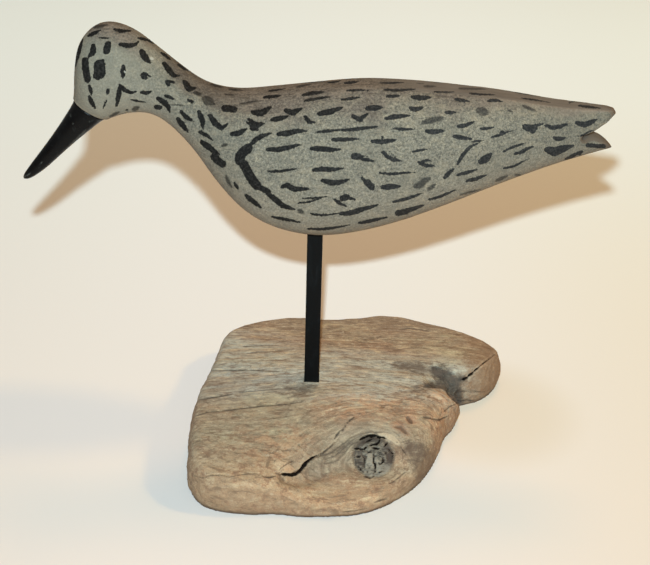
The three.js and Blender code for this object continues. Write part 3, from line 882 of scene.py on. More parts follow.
def bird_values(mixing):
    """The noises and the measures that the bird's paint follows."""
    place = mixing.place()
    return {
        "grains": mixing.cloud(place, 1250, 4.0, 0.75),
        "specks": mixing.cloud(place, 820, 5.0, 0.8),
        "patches": mixing.cloud(place, 42, 4.0, 0.6),
        "tones": mixing.cloud(mixing.stretch(place, (0.6, 1, 1)), 210, 4.0, 0.75),
        "streaks": mixing.cloud(mixing.stretch(place, (0.16, 1, 1)), 420, 4.0, 0.65),
        "ragged": mixing.cloud(place, 800, 5.0, 0.75),
        "upward": mixing.pull(mixing.normal())[2],
        "along": mixing.pull(place)[0],
    }


def sandy_paint(mixing, values):
    ground = mixing.two_tones(values["grains"], 0.34, 0.66, (104, 102, 91), (158, 156, 139))
    return mixing.coats(ground, values, SANDY_COATS)


def brown_paint(mixing, values):
    """The browner paint of the crown, nape and back."""
    brown = mixing.two_tones(values["specks"], 0.34, 0.66, (83, 78, 71), (149, 141, 127))
    brown = mixing.coats(brown, values, BROWN_COATS)
    along = values["along"]
    nape = mixing.times(mixing.rise(along, *NAPE_STARTS), mixing.rise(along, *NAPE_ENDS))
    brown = mixing.coat(brown, mixing.times(nape, 0.45), (78, 71, 62))
    return mixing.coats(brown, values, [REAR_COAT])


def worn_ground(mixing, values):
    """The two paints, with painted shade in the brown, the planed strip, the tail's tips, the brown on the
    notch's lower lip and the painted highlight on the rim at the bill.
    """
    upward, along, streaks = values["upward"], values["along"], values["streaks"]
    turned_up = mixing.plus(upward, mixing.rise(values["patches"], 0.3, 0.7, -0.2, 0.2))
    # browner where the surface faces up: partly the brown paint, partly painted shade
    browner_and_shaded = mixing.rise(turned_up, 0.5, 0.92, 0, 0.92)
    ground = mixing.mix(browner_and_shaded, sandy_paint(mixing, values), brown_paint(mixing, values))
    planed = mixing.times(mixing.rise(upward, *PLANED_SLOPE), mixing.rise(along, *PLANED_STARTS))
    ground = mixing.mix(planed, ground, mixing.mix(streaks, tint(98, 95, 88), tint(154, 149, 137)))
    tip = mixing.plus(along, mixing.rise(values["specks"], 0.3, 0.7, -TIP_RAGGED, TIP_RAGGED))
    ground = mixing.coat(ground, mixing.rise(tip, *TAIL_TIP, 0, 0.8), (98, 72, 54))
    # browner on the notch's lower lip
    lip_brown_tone = mixing.mix(streaks, tint(96, 88, 78), tint(138, 127, 112))
    ground = mixing.mix(mixing.rise(mixing.stored("lip_brown"), -0.3, 0.5, 0, 0.9), ground, lip_brown_tone)
    # a pale line along the rim at the bill: painted highlight
    return mixing.coat(ground, mixing.times(mixing.stored("rim_highlight"), 0.7), (172, 168, 148))


def brushed_black(mixing, values, glinted):
    """How far the dabs cover the ground, and their colour."""
    rough = mixing.rise(values["ragged"], 0.2, 0.8, -0.36, 0.36)
    full = mixing.rise(mixing.plus(mixing.stored("ink"), rough), -0.06, 0.1, 0, 0.98)
    dry = mixing.rise(mixing.plus(mixing.stored("faint"), rough), -0.45, 0.35, 0, 0.78)
    cover = mixing.times(mixing.math("MAXIMUM", full, dry), mixing.math("SUBTRACT", 1.0, glinted))
    worn = mixing.rise(values["along"], *DABS_WEAR)
    black = mixing.mix(worn, tint(16, 16, 16), tint(40, 42, 43))
    grey = mixing.mix(worn, tint(62, 62, 59), tint(84, 85, 82))
    return cover, mixing.mix(mixing.rise(values["specks"], 0.42, 0.76), black, grey)


def bird_paint():
    mixing = Recipe("sanded_paint_with_dabs")
    values = bird_values(mixing)
    # painted glints: pale dots that also clear the black of the dabs
    glinted = mixing.rise(mixing.stored("chip_and_glint"), -0.2, 0.2)
    cover, black = brushed_black(mixing, values, glinted)
    ground = mixing.coat(worn_ground(mixing, values), glinted, (186, 186, 170))
    colour = mixing.mix(1.0, mixing.mix(cover, ground, black), BIRD_TONE, "MULTIPLY")
    paint_height = mixing.plus(mixing.times(values["grains"], 0.7), mixing.times(cover, 0.3))
    return mixing.finish(
        Base_Color=colour,
        Roughness=mixing.rise(cover, 0, 1, 0.9, 0.75),
        Specular_IOR_Level=0.1,
        Normal=mixing.bump(paint_height, 0.6, 0.2 * MM),
    )


bird.data.materials.append(bird_paint())
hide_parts("bird")
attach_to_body(bird, "root")
print("bird painted")

# %% [markdown]
# ## The bill
#
# The bill is a separate stick of wood, whittled to a taper, dipped in black enamel and glued
# against the head. Handling has scuffed it along its lower edge and at its tip, down to the grey
# primer. The pale marks are traced in the picture's own pixels and laid on as the dabs were, on
# the far side as well: they are partly these scuffs and partly painted highlights, a line along
# the lower edge and a glint near the head. It stays a piece of its own, as it really is, so that
# its gloss ends in a clean line at the head.

# %% Bill
WHOLE_PICTURE = (0, 0, 1)
bill_scuffs_and_glints = [
    (1.4, 85.6, 130, 82.4, 133.5, 76.8, 138.4, 69.7, 146.1, 63.4, 151.1),
    (1.5, 25, 176, 27.6, 175.3, 30.8, 172.6), (0.9, 39.6, 164.7, 42.6, 161.7),
    (0.8, 70.4, 114.4, 70.8, 117.2), (0.9, 72.7, 123.5, 73.3, 124.7), (0.8, 88.7, 121.9, 93.6, 120.3),
    (1.0, 97, 120.6, 97.8, 122.6), (0.9, 57.5, 154.2, 58.1, 155), (0.7, 55, 130, 57.5, 127),
    (0.7, 61, 124, 62, 122),
]
BILL_VOXEL = 0.42 * MM
BILL_RELAXING = 4
SQUARE_EDGE = math.radians(50)


def make_bill():
    bill = copy_of("bill", "glossy_bill")
    weld(bill, SQUARE_EDGE)
    subdivide(bill, ROUNDING_LEVELS)
    voxel_skin(bill, BILL_VOXEL)
    relax(bill, BILL_RELAXING)
    places = read_places(bill)
    near = places * np.where(places[:, 1:2] < 0, 1, MIRROR)
    spots, scale = seen_at(near, camera.matrix_world)
    attach(bill, "scuff_and_glint", lay_marks(spots, scale, WHOLE_PICTURE, bill_scuffs_and_glints, "dab"))
    return bill


def bill_enamel():
    mixing = Recipe("scuffed_black_enamel")
    place = mixing.place()
    rubs = mixing.cloud(mixing.stretch(place, (1, 1, 0.8)), 420, 5.0, 0.75, 0.6)
    smears = mixing.cloud(place, 110, 4.0, 0.6)
    ragged = mixing.rise(mixing.cloud(place, 1100, 4.0, 0.75), 0.25, 0.75, -0.5, 0.5)
    # paler grey: partly scuffs, partly painted highlights
    scuffed_and_glinting = mixing.rise(mixing.plus(mixing.stored("scuff_and_glint"), ragged), -0.2, 0.4, 0, 0.75)
    colour = mixing.two_tones(rubs, 0.55, 0.75, (5, 5, 6), (30, 31, 31))
    gloss = mixing.rise(smears, 0.3, 0.75, 0.26, 0.45)
    return mixing.finish(
        Base_Color=mixing.coat(colour, scuffed_and_glinting, (76, 76, 72)),
        Roughness=mixing.math("MAXIMUM", gloss, mixing.times(scuffed_and_glinting, 0.7)),
        Specular_IOR_Level=0.16,
        Normal=mixing.bump(mixing.cloud(place, 240, 3.0), 0.35, 0.2 * MM),
    )


bill = make_bill()
bill.data.materials.append(bill_enamel())
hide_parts("bill")
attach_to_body(bill, "root")
print("bill:", count_triangles(bill), "triangles")

# %% [markdown]
# ## The bar
#
# A length of square steel bar with eased edges, painted black and pushed into a square socket at
# each end. It is plain, so the CAD's own faces serve. Paint that is rubbed in places and a little
# glue squeezed out at its foot, with painted glints on it, are all that sets it off from a plain
# black stick.

# %% Bar
SHADING_EDGE = math.radians(35)
GLUE_AND_GLINT_RISES = (31 * MM, 25 * MM)


def make_bar():
    bar = copy_of("stand_bar", "black_square_bar")
    weld(bar, SQUARE_EDGE)
    bar.data.shade_smooth()
    bar.data.set_sharp_from_angle(angle=SHADING_EDGE)
    return bar


def bar_paint():
    mixing = Recipe("black_painted_steel")
    place = mixing.place()
    smears = mixing.cloud(mixing.stretch(place, (1, 1, 0.35)), 150, 5.0, 0.7, 0.9)
    scratches = mixing.cloud(mixing.stretch(place, (0.5, 1, 1.6)), 320, 5.0, 0.7)
    colour = mixing.two_tones(smears, 0.52, 0.78, (6, 7, 8), (22, 24, 26))
    foot = mixing.rise(mixing.pull(place)[2], *GLUE_AND_GLINT_RISES, 0, 0.6)
    # pale spots at the foot: the glue, partly as painted glints
    glue_and_glints = mixing.times(foot, mixing.rise(scratches, 0.45, 0.65))
    return mixing.finish(
        Base_Color=mixing.coat(colour, glue_and_glints, (42, 44, 45)),
        Roughness=mixing.rise(smears, 0.3, 0.7, 0.4, 0.6),
        Specular_IOR_Level=0.12,
        Normal=mixing.bump(mixing.cloud(place, 300, 3.0), 0.25, 0.15 * MM),
    )


bar = make_bar()
bar.data.materials.append(bar_paint())
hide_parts("stand_bar")
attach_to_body(bar, "root")
print("bar:", count_triangles(bar), "triangles")

# %% [markdown]
# ## The driftwood slab
#
# The slab is a slice of a weathered board: its soft early wood has worn away between harder
# lines, it has split along the grain, and the grain runs round a hard knot as water runs round a
# stone. A net whose faces are twice as long along the grain as across it holds the narrow ridges
# with half the faces, so the copy is squeezed along the grain, skinned and pulled out again.
#
# Skinning would round the bar's socket. So its walls are taken out first, which fills it, and
# the square is cut again at the end, as sharp as a chisel leaves it.

# %% Driftwood net
WOOD_VOXEL = 0.56 * MM
GRAIN_STRETCH = 2.0
UNDERSIDE = 0.3
BAR_HALF = 4.0
SOCKET_CLEARANCE = 0.3
SOCKET_HALF = BAR_HALF + SOCKET_CLEARANCE
SOCKET_FLOOR = 12.3
ABOVE_THE_WOOD = 40
# middles and half sizes of the pit, the wood behind it, the worn channel and the knot's hollow
SOFT_HOLLOWS = [((75, 4), (19, 26)), ((56, 16), (22, 9)), ((2, -73), (30, 18)), ((33, -60), (34, 23))]
WOOD_EDGE = math.radians(65)
CORNER_REACH = 0.05
FACET_ROUNDS = 16
HOLLOW_RIM_ROUNDS = 110
HELD_NEAR_FLOOR = (1.5, 0.3)


def remove_faces(piece, chosen, cap_material):
    """Takes chosen faces away and closes the hole with one face."""
    net = bmesh.new()
    net.from_mesh(piece.data)
    bmesh.ops.remove_doubles(net, verts=net.verts, dist=WELD_REACH)
    gone = [face for face in net.faces if all(chosen(corner.co / MM) for corner in face.verts)]
    bmesh.ops.delete(net, geom=gone, context="FACES")
    rim = [edge for edge in net.edges if edge.is_boundary]
    for face in bmesh.ops.contextual_create(net, geom=rim)["faces"]:
        face.material_index = cap_material
        face.smooth = False
    bmesh.ops.recalc_face_normals(net, faces=net.faces)
    net.to_mesh(piece.data)
    net.free()


def in_socket(place):
    return max(abs(place.x), abs(place.y)) < SOCKET_HALF + CORNER_REACH


def on_underside(place):
    return place.z < UNDERSIDE


def cut_socket(piece):
    """Cuts the square socket afresh, with a chisel that is a square post."""
    chisel = bpy.data.objects.new("chisel", bpy.data.meshes.new("chisel"))
    net = bmesh.new()
    bmesh.ops.create_cube(net, size=2 * SOCKET_HALF * MM)
    for corner in net.verts:
        corner.co.z = MM * (ABOVE_THE_WOOD if corner.co.z > 0 else SOCKET_FLOOR)
    net.to_mesh(chisel.data)
    net.free()
    bpy.context.scene.collection.objects.link(chisel)
    cut = piece.modifiers.new("socket", "BOOLEAN")
    cut.operation = "DIFFERENCE"
    cut.solver = "MANIFOLD"
    cut.object = chisel
    settle(piece)
    piece.data.materials.clear()
    bpy.data.objects.remove(chisel)


def oval_reach(places, centre, half):
    """How far places are from an oval's middle, seen from above: 1 is on the oval."""
    return np.hypot(*((places[:, :2] - centre) / half).T)


def soft_rims(places):
    """How far each place belongs to one of the soft hollows."""
    away = [oval_reach(places, centre, half) for centre, half in SOFT_HOLLOWS]
    return ease(np.minimum.reduce(away), 1.4, 0.9) * ease(places[:, 2], 2, 6)


def make_driftwood():
    wood = copy_of("driftwood_base", "driftwood_slab")
    remove_faces(wood, in_socket, 0)
    weld(wood, SQUARE_EDGE)
    stretch_x(wood, 1 / GRAIN_STRETCH)
    voxel_skin(wood, WOOD_VOXEL)
    stretch_x(wood, GRAIN_STRETCH)
    relax(wood, FACET_ROUNDS, ease(read_places(wood)[:, 2], *HELD_NEAR_FLOOR))
    relax(wood, HOLLOW_RIM_ROUNDS, 1 - soft_rims(read_places(wood)))
    cut_socket(wood)
    places = read_places(wood)
    places[places[:, 2] < UNDERSIDE, 2] = 0
    write_places(wood, places)
    remove_faces(wood, on_underside, 1)
    wood.data.set_sharp_from_angle(angle=WOOD_EDGE)
    return wood


driftwood = make_driftwood()
print("driftwood:", count_triangles(driftwood), "triangles")

# %% [markdown]
# ## Splits, edges and the knot
#
# The slab's own marks are traced through the camera too, as the feather marks were, from four
# enlarged views of its top. Splits are grooves that end in points. The hollow by the knot has a
# steep bank on its left, so there the wood on one side of a traced line is lowered. Soft shades
# are the wide stains, a darker grey over the swirl, painted shade in the pit, beside the crevice
# and in the crescent over the knot's ring, and a painted shadow under the bar's foot.

# %% Traced wood
FAR_LEFT_VIEW = (180, 300, 1.148)
FAR_RIGHT_VIEW = (340, 300, 1.0846)
NEAR_LEFT_VIEW = (180, 400, 1.148)
NEAR_RIGHT_VIEW = (320, 400, 1.0204)

far_left_splits = [
    (0.8, 26, 61, 45, 61, 68, 61, 87, 62.2), (1.2, 16, 87, 26, 85, 38, 83, 46, 81.6),
    (0.4, 50, 80.5, 72, 78.4, 86, 77, 98, 77),
    (1.0, 14, 100.5, 24, 97.5, 40, 96, 55, 94, 72, 92, 88, 91, 107, 88.4),
    (0.5, 55, 40.2, 70, 39.4, 86, 39), (0.3, 58, 46, 75, 44.4, 89, 44),
]
far_right_splits = [
    (0.4, 56, 26.5, 66, 26, 77, 27.5, 84, 29), (0.4, 22, 35.6, 36, 35),
    (0.4, 118, 83, 128, 85, 134, 84.6),
    (1.4, 108.4, 95.6, 113.8, 93.4, 117.3, 92.3, 123.8, 93.1, 128.8, 92.1, 132.8, 89.9),
    (0.5, 109, 85, 117, 84.4, 125, 85.8),
]
near_left_splits = [
    (0.35, 12, 66, 20, 68, 25, 66, 36, 65, 42, 67, 52, 65, 60, 64, 68, 64, 74, 66.5),
    (1.3, 72, 66.4, 78, 67.2, 84, 66), (0.5, 86.5, 61, 89, 58.4, 94, 55, 98.5, 53),
    (0.9, 121.4, 48.2, 127.5, 44, 133.9, 38.4), (1.5, 134.4, 34, 137.4, 29.4, 140.6, 26),
    (1.1, 141, 28, 144.5, 21.5), (1.2, 145, 20.6, 148.5, 17, 152, 14.6),
]
near_right_splits = [
    (1.2, 101, 16.6, 110, 18.2, 117, 19.6, 126.5, 15.4), (2.0, 100.6, 16.6, 108, 17.4),
    (0.6, 84, 70, 78, 75, 72, 80, 67, 82), (1.2, 53.5, 100.5, 60, 98.6, 66, 96.8),
    (0.4, 22, 110, 34, 109, 46, 106.6), (0.5, 74, 40, 80, 47, 84.5, 54), (0.6, 121, 12, 128, 6, 134, 3.6),
]
lobe_crack = [
    (1.0, 111, 75, 117.7, 71.8, 121.3, 68.6, 125.5, 64.7, 131.8, 58.4, 137.5, 54, 143, 49.8),
    (2.3, 113.4, 74.4, 118.8, 71.6), (2.5, 118.2, 71, 123.4, 66.8), (2.2, 123.8, 66.2, 128, 62.4),
]
crevice = [
    (3.2, 102, 64, 105.6, 60.8, 110.6, 54.4, 115, 51),
    (2.8, 84.5, 63.4, 86.7, 64.3, 91, 65.2, 97, 65.4, 102, 63.8, 105.3, 61, 110.6, 54.4, 116, 50.4,
     122.6, 47.4),
]
knot_checks = [
    (1.2, 32.3, 49.5, 37.3, 46.7, 40, 48.1, 43.5, 47.5, 45.8, 45.2),
    (2.0, 39.5, 48.2, 43.5, 47.6, 46, 45.4), (1.8, 51.3, 46.4, 54, 46.9, 57.5, 47.5, 58.8, 46.4),
    (2.0, 52.6, 46.8, 53.4, 52, 52.8, 57, 54, 62.2, 53.6, 66.1, 53.4, 74.5),
    (1.4, 42.1, 54.5, 43.5, 58.4, 43.5, 62.2, 43.1, 66.6), (1.3, 36.6, 64.6, 40, 68.4, 43.6, 72),
    (1.4, 42.6, 74.4, 47.8, 75.8, 51.6, 75.2, 54, 73.6), (0.9, 46.4, 63, 49, 66.4, 50, 69),
    (1.0, 46.6, 51.6, 49.6, 49.2), (1.5, 35.2, 55.3, 40.4, 55.1),
    (1.3, 58.6, 54.4, 61.4, 56.6, 61.8, 60.4, 59, 63.4, 56.8, 61), (1.2, 63.6, 65, 61, 69, 57.6, 71),
    (1.4, 65.8, 46.9, 69.1, 48.3, 71, 52.6, 71.6, 59.4), (0.9, 63, 49.6, 65.6, 52.6, 66.6, 56.4),
    (2.8, 37, 41, 41.9, 36.6, 47.8, 34.6, 53.6, 35.2, 59.4, 36, 65.4, 38),
    (1.5, 42, 43, 47.8, 39, 52.4, 37.6), (2.0, 47.6, 44.6, 54, 42.9, 57.5, 41.3, 59.2, 37.6),
    (1.6, 63, 45.8, 64.8, 43.6, 66.8, 40.6), (1.0, 46.8, 68, 47.4, 72),
]
swirl_lines = [
    (1.4, 0, 55, 10, 52, 20, 45, 30, 37, 40, 33, 50, 31, 62, 32),
    (1.6, 0, 62.6, 8, 61.8, 16, 59.4, 24, 52, 30, 44, 35, 40.6),
    (1.0, 4, 58, 14, 55, 22, 48.6, 30, 40.6, 38, 36), (0.9, 26, 60, 31, 56, 33, 51),
]
# soft shades: stains, with painted shade in the pit, channel and knot's upper side and a painted shadow at
# the foot
soft_shades = {
    "channel": (NEAR_LEFT_VIEW, [
        (6, 104, 64, 112, 60, 122, 56, 134, 52), (3, 120, 50, 130, 44, 139, 37),
    ]),
    "knot's upper side": (NEAR_RIGHT_VIEW, [
        (6, 31, 47, 39, 39.6, 50, 36.4, 62, 39), (4, 66, 46, 71, 53, 70, 61),
    ]),
    "swirl": (NEAR_RIGHT_VIEW, [(8, -8, 63, 5, 56, 18, 50, 28, 43, 37, 37)]),
    "pit": (FAR_RIGHT_VIEW, [
        (14.5, 85, 61, 93, 67, 99, 75, 104, 82, 111, 96), (7, 78, 80, 90, 78, 100, 77),
        (5, 100, 77, 108, 74, 116, 72),
    ]),
    "streak": (FAR_RIGHT_VIEW, [(7, 50, 60, 66, 61.6, 80, 64, 96, 70), (2, 66, 84, 74, 80, 84, 78.6)]),
    "foot": (FAR_LEFT_VIEW, [(2.4, 93, 76, 102, 78.2, 111, 76.2, 119, 74.5)]),
    "smudge": (NEAR_RIGHT_VIEW, [
        (20, 84, 42, 94, 49, 100, 56, 101, 64, 96, 78), (14, 88, 52, 102, 58, 112, 66),
    ]),
    "far dabs": (FAR_RIGHT_VIEW, [
        (3, 10, 38, 24, 37, 36, 35), (3.4, 38, 37, 52, 38), (3.6, 66, 39, 78, 40),
    ]),
}
NOTCH_BLOCK = [(14, 76, 87.4, 91, 88.6, 98.5, 93.3, 101.5, 99)]
NOTCH_EDGE = [(6.4, 99, 82, 105.6, 87.2, 109.6, 93.4)]
HOLLOW_BANK = [86.5, 63.2, 93, 65, 100, 63.5, 105, 60, 108, 56.5, 112, 52.5, 117, 49.5, 123, 46.5]
HOLLOW_RIM = [123, 46.5, 130, 41, 137, 34.5, 142, 27, 148, 20, 152.5, 13.5]
WORN_HOLES = [(4.6, 84.6, 15.6, 88, 19.4, 91.4, 22.4), (4.4, 72, 25.4, 79, 26.4, 82.4, 29.6, 86, 33.4)]
PALE_CHIP = [(6.2, 55.5, 32.8, 64, 34.6, 71.5, 38, 75.5, 41.8, 79, 45.4)]
WHITE_SPECK = [(1.5, 2.2, 29.3, 3.0, 29.5)]
split_groups = [
    (FAR_LEFT_VIEW, far_left_splits), (FAR_RIGHT_VIEW, far_right_splits),
    (NEAR_LEFT_VIEW, near_left_splits), (NEAR_RIGHT_VIEW, near_right_splits),
]
print("traced splits:", sum(len(splits) for _, splits in split_groups))

# %% [markdown]
# ## Grain round the knot
#
# The relief is added up from simple parts, each a height in millimetres. The first is the grain:
# fine ridges of noise, stretched along lines that bend round the knot. Broad wear lies under it,
# and the slab's edges are worn in smaller swings.

# %% Grain relief
KNOT = np.array([33.2, -56.2])
KNOT_HALF = np.array([9.9, 11.3])
KNOT_FLOW = 31.0
FLOW_SHARE = 0.92
TEARDROP_WAY = np.array([-0.92, -0.39])
TEARDROP_AHEAD = 2.0
TEARDROP_BEHIND = 1.1
RINGS_REACH = 29
CHANNEL_REACH = (27, 15)
CHANNEL_WAY = (-0.5, 0.87)
# the length and width of a noise's swings along the grain in mm, and its seed
RIDGE_NOISE = (46, 3.1, 1)
FIBRE_NOISE = (24, 1.5, 5)
RIDGE_HEIGHT = 0.26
FIBRE_HEIGHT = 0.16
WEAR_HEIGHT = 0.55
SMALL_WEAR_HEIGHT = 0.25
EDGE_SLOPES = (0.75, 0.2)
EDGE_SINKS = 0.2


def flow_round_knot(places):
    """The coordinate across the grain, and the distance from the knot as a teardrop."""
    off = places[:, :2] - KNOT
    far = np.maximum(np.sum(off**2, 1), KNOT_FLOW**2)
    across = KNOT[1] + off[:, 1] * (1 - FLOW_SHARE * KNOT_FLOW**2 / far)
    ahead = off @ TEARDROP_WAY
    aside = off @ np.array([TEARDROP_WAY[1], -TEARDROP_WAY[0]])
    ring = np.hypot(aside, ahead / np.where(ahead > 0, TEARDROP_AHEAD, TEARDROP_BEHIND))
    return across, ring


def grain_noise(places, across, length, width, seed):
    points = np.stack([places[:, 0] / length + seed, across / width, places[:, 2] / width], 1)
    return np.array([noise.noise(point) for point in points])


def from_knot(places, way):
    """How far places lie from the knot's middle in one direction, seen from above."""
    return (places[:, :2] - KNOT) @ np.array(way)


def grain_relief(places, normals, layers):
    """The height of the grain and of the wear. Adds what the finish needs to the layers."""
    across, ring = flow_round_knot(places)
    lines = np.where(ring < RINGS_REACH, ring, across)
    ridges = 1 - 2 * np.abs(grain_noise(places, lines, *RIDGE_NOISE))
    fibres = grain_noise(places, lines, *FIBRE_NOISE)
    rough = 0.35 + 0.65 * ease(wander(places * (0.5, 1, 1), 22, 31), -0.3, 0.4)
    height = rough * (RIDGE_HEIGHT * (ridges - 0.6) + FIBRE_HEIGHT * fibres)
    height += WEAR_HEIGHT * (wander(places * (0.6, 1, 1), 17, 3) - 0.4)
    height += SMALL_WEAR_HEIGHT * wander(places, 7, 6)
    edge_wear = ease(normals[:, 2], *EDGE_SLOPES)
    height += edge_wear * (0.5 * wander(places, 6, 21) + 0.3 * wander(places, 2.4, 22) - EDGE_SINKS)
    layers.update(across=lines, edge=edge_wear, channel=ease(ring, *CHANNEL_REACH))
    return height


print("the knot is", 2 * KNOT_HALF, "mm wide and deep")

# %% [markdown]
# ## Plates and the knot
#
# Where the top is weathered most, it has broken into scaly plates. Cells of noise give them: each
# has its own level and a crack round it. The knot's end grain breaks in the same way into square
# blocks, and a ring has shrunk free round it, deeper on its upper left.

# %% Plates and knot relief
PLATED = [((-8, -64), (24, 15)), ((62, -12), (26, 16)), ((46, -26), (20, 8))]
PLATE_SIZE = np.array([9.0, 5.6, 9.0])
SMALL_PLATE_SIZE = np.array([4.4, 3.0, 5.0])
BLOCK_SIZE = np.array([6.0, 7.0, 30.0])
PLATE_HEIGHT = 0.3
SMALL_PLATE_HEIGHT = 0.26
CRACK_DEPTH = 0.06
BLOCK_HEIGHT = 0.3
CHECK_DEPTH = 0.2
RING_REACH = 1.04
GRAIN_LEFT_ON_KNOT = 0.2


def broken_plates(places, mask, size, metric, seed):
    """Splits a masked area into plates: a level from -1 to 1 for each, and the crack between."""
    level = np.zeros(len(places))
    crack = np.zeros(len(places))
    for index in np.flatnonzero(mask > 0):
        point = Vector(places[index] / size) + Vector((seed, 0, 0))
        distances, centres = noise.voronoi(point, distance_metric=metric)
        level[index] = math.sin(91.7 * centres[0].x + 47.3 * centres[0].y + 31.1 * centres[0].z)
        crack[index] = distances[1] - distances[0]
    return level * mask, ease(crack, 0.1, 0.02) * mask


def knot_cover(places, normals):
    """How far each place belongs to the knot's face, from 0 to 1."""
    return ease(oval_reach(places, KNOT, KNOT_HALF), 1.1, 0.98) * ease(normals[:, 2], 0.1, 0.6)


def plated_cover(places, normals):
    """How far each place belongs to the scaly wood, from 0 to 1."""
    plated = np.zeros(len(places))
    for centre, half in PLATED:
        away = oval_reach(places, centre, half) + 0.7 * wander(places, 7, 14)
        plated = np.maximum(plated, ease(away, 1.0, 0.4))
    return plated * ease(normals[:, 2], 0.2, 0.6)


def plate_relief(places, normals, layers):
    """The height of the plates and of the knot's blocks and ring."""
    on_knot = layers["knot"]
    bends = [wander(places, 5, 41), wander(places, 5, 42), np.zeros(len(places))]
    bent = places + 1.2 * np.stack(bends, 1)
    plated = plated_cover(places, normals) * (1 - on_knot)
    level, crack = broken_plates(bent, plated, PLATE_SIZE, "DISTANCE", 2)
    small_level, small_crack = broken_plates(bent, plated, SMALL_PLATE_SIZE, "DISTANCE", 7)
    block, check = broken_plates(bent, on_knot, BLOCK_SIZE, "CHEBYCHEV", 5)
    height = PLATE_HEIGHT * level + SMALL_PLATE_HEIGHT * small_level - CRACK_DEPTH * crack
    height += BLOCK_HEIGHT * block - CHECK_DEPTH * check
    ring_depth = 0.25 + 0.4 * ease(from_knot(places, (-0.7, 0.7)), -4, 4)
    ring = ease(np.abs(oval_reach(places, KNOT, KNOT_HALF) - RING_REACH), 0.1, 0.0)
    height -= ring_depth * ring * ease(normals[:, 2], 0.1, 0.6)
    lower_left = ease(from_knot(places, (-0.5, -0.87)), -3, 3)
    layers.update(
        plate=level + 0.5 * small_level, crack=np.maximum(crack, 0.6 * small_crack),
        block=np.where(block > 0, block * lower_left, block), check=check,
    )
    return height


print("plated areas:", len(PLATED))

# %% [markdown]
# ## Banks of the hollow
#
# The worn channel by the knot has one steep bank, with a dark crevice at its foot. Moving points
# straight out and in can't make an undercut, but a sharp step reads the same from above: the wood
# on the hollow's side of a traced line sinks, most at the line itself, and the lip on its other
# side rises a little.

# %% Bank relief
BANK_DEPTH = 2.0
BANK_REACH = 5.0
LIP_HEIGHT = 0.5
LIP_REACH = 2.0
RIM_DEPTH = 0.9
BANK_ENDS = 0.12


def beside_line(spots, path):
    """How far each spot is from a line, on which side, and how far along, in the path's units."""
    gap = np.full(len(spots), FAR_AWAY)
    side = np.zeros(len(spots))
    share = np.zeros(len(spots))
    count = len(path) - 1
    for index in range(count):
        start, step = path[index], path[index + 1] - path[index]
        along = np.clip((spots - start) @ step / (step @ step), 0, 1)
        away = spots - start - along[:, None] * step
        distance = np.linalg.norm(away, axis=1)
        closer = distance < gap
        gap[closer] = distance[closer]
        turn = step[0] * away[:, 1] - step[1] * away[:, 0]
        side[closer] = np.sign(turn[closer])
        share[closer] = (index + along[closer]) / count
    return gap, side, share


def bank_relief(spots, scale, seen):
    gap, side, share = beside_line(spots, path_in(NEAR_LEFT_VIEW, HOLLOW_BANK))
    low = (side > 0) & seen
    depth = BANK_DEPTH * np.sin(np.pi * (BANK_ENDS + (1 - 2 * BANK_ENDS) * share))
    height = -np.where(low, depth * np.exp(-gap * scale / BANK_REACH), 0)
    height += np.where(~low & seen, LIP_HEIGHT * np.exp(-gap * scale / LIP_REACH), 0)
    gap, side, share = beside_line(spots, path_in(NEAR_LEFT_VIEW, HOLLOW_RIM))
    slope = RIM_DEPTH * (1 - share) * np.exp(-gap * scale / BANK_REACH)
    return height - np.where((side > 0) & seen, slope, 0)


print("points along the banks:", len(HOLLOW_BANK) // 2 + len(HOLLOW_RIM) // 2)

# %% [markdown]
# ## Carving the slab
#
# The broad relief is cut first and the traced grooves after it, through the surface as it then
# stands, so that splits run down over a bank as they do in the real board. What each part did is
# kept on the points, so that the finish can darken the splits and grey the worn places in
# register with the form. The underside and the socket are left alone, because other pieces or
# the floor meet them.

# %% Driftwood relief
GRAZING = 0.05
LOWEST_SEEN = 1
SHAKE = 1.5
SHAKE_SCALE = 2.0
SHADE_MARGIN = 14
SHADE_FALLS = (-4.5, 2.0)
# dark: painted shade, with a darker grey over the swirl; dull: stains, with a painted shadow under the bar's
# foot
SHADE_SHARES = {
    "dark": {"pit": 1.2, "channel": 0.5, "swirl": 0.6, "knot's upper side": 0.85},
    "dull": {"streak": 1.0, "foot": 1.0, "smudge": 1.0, "far dabs": 0.45},
}
# a groove's depth in mm, and how far inside its trace its side starts and is full
GROOVES = {
    "split": (0.5, -0.5, 0.3),
    "gap": (1.0, -0.4, 0.4),
    "swirl": (0.35, -0.6, 0.3),
    "hole": (1.0, -0.8, 0.8),
    "chip_and_glint": (-0.3, -0.6, 0.6),
}
PIT_DEPTH = 0.8
BEVEL_DEPTH = 1.8
BEVEL_FALLS = (-1.6, 1.0)
RELIEF_STARTS = (0.2, 2.5)
HOLLOW_ROUNDS = 6


def displace_wood(piece, height):
    """Moves the surface out by a height in mm, except on the underside and in the socket."""
    places, normals = read_places(piece), read_normals(piece)
    socket = np.maximum(np.abs(places[:, 0]), np.abs(places[:, 1]))
    keep = ease(places[:, 2], *RELIEF_STARTS) * ease(socket - SOCKET_HALF, *RELIEF_STARTS)
    write_places(piece, places + normals * (height * keep)[:, None])


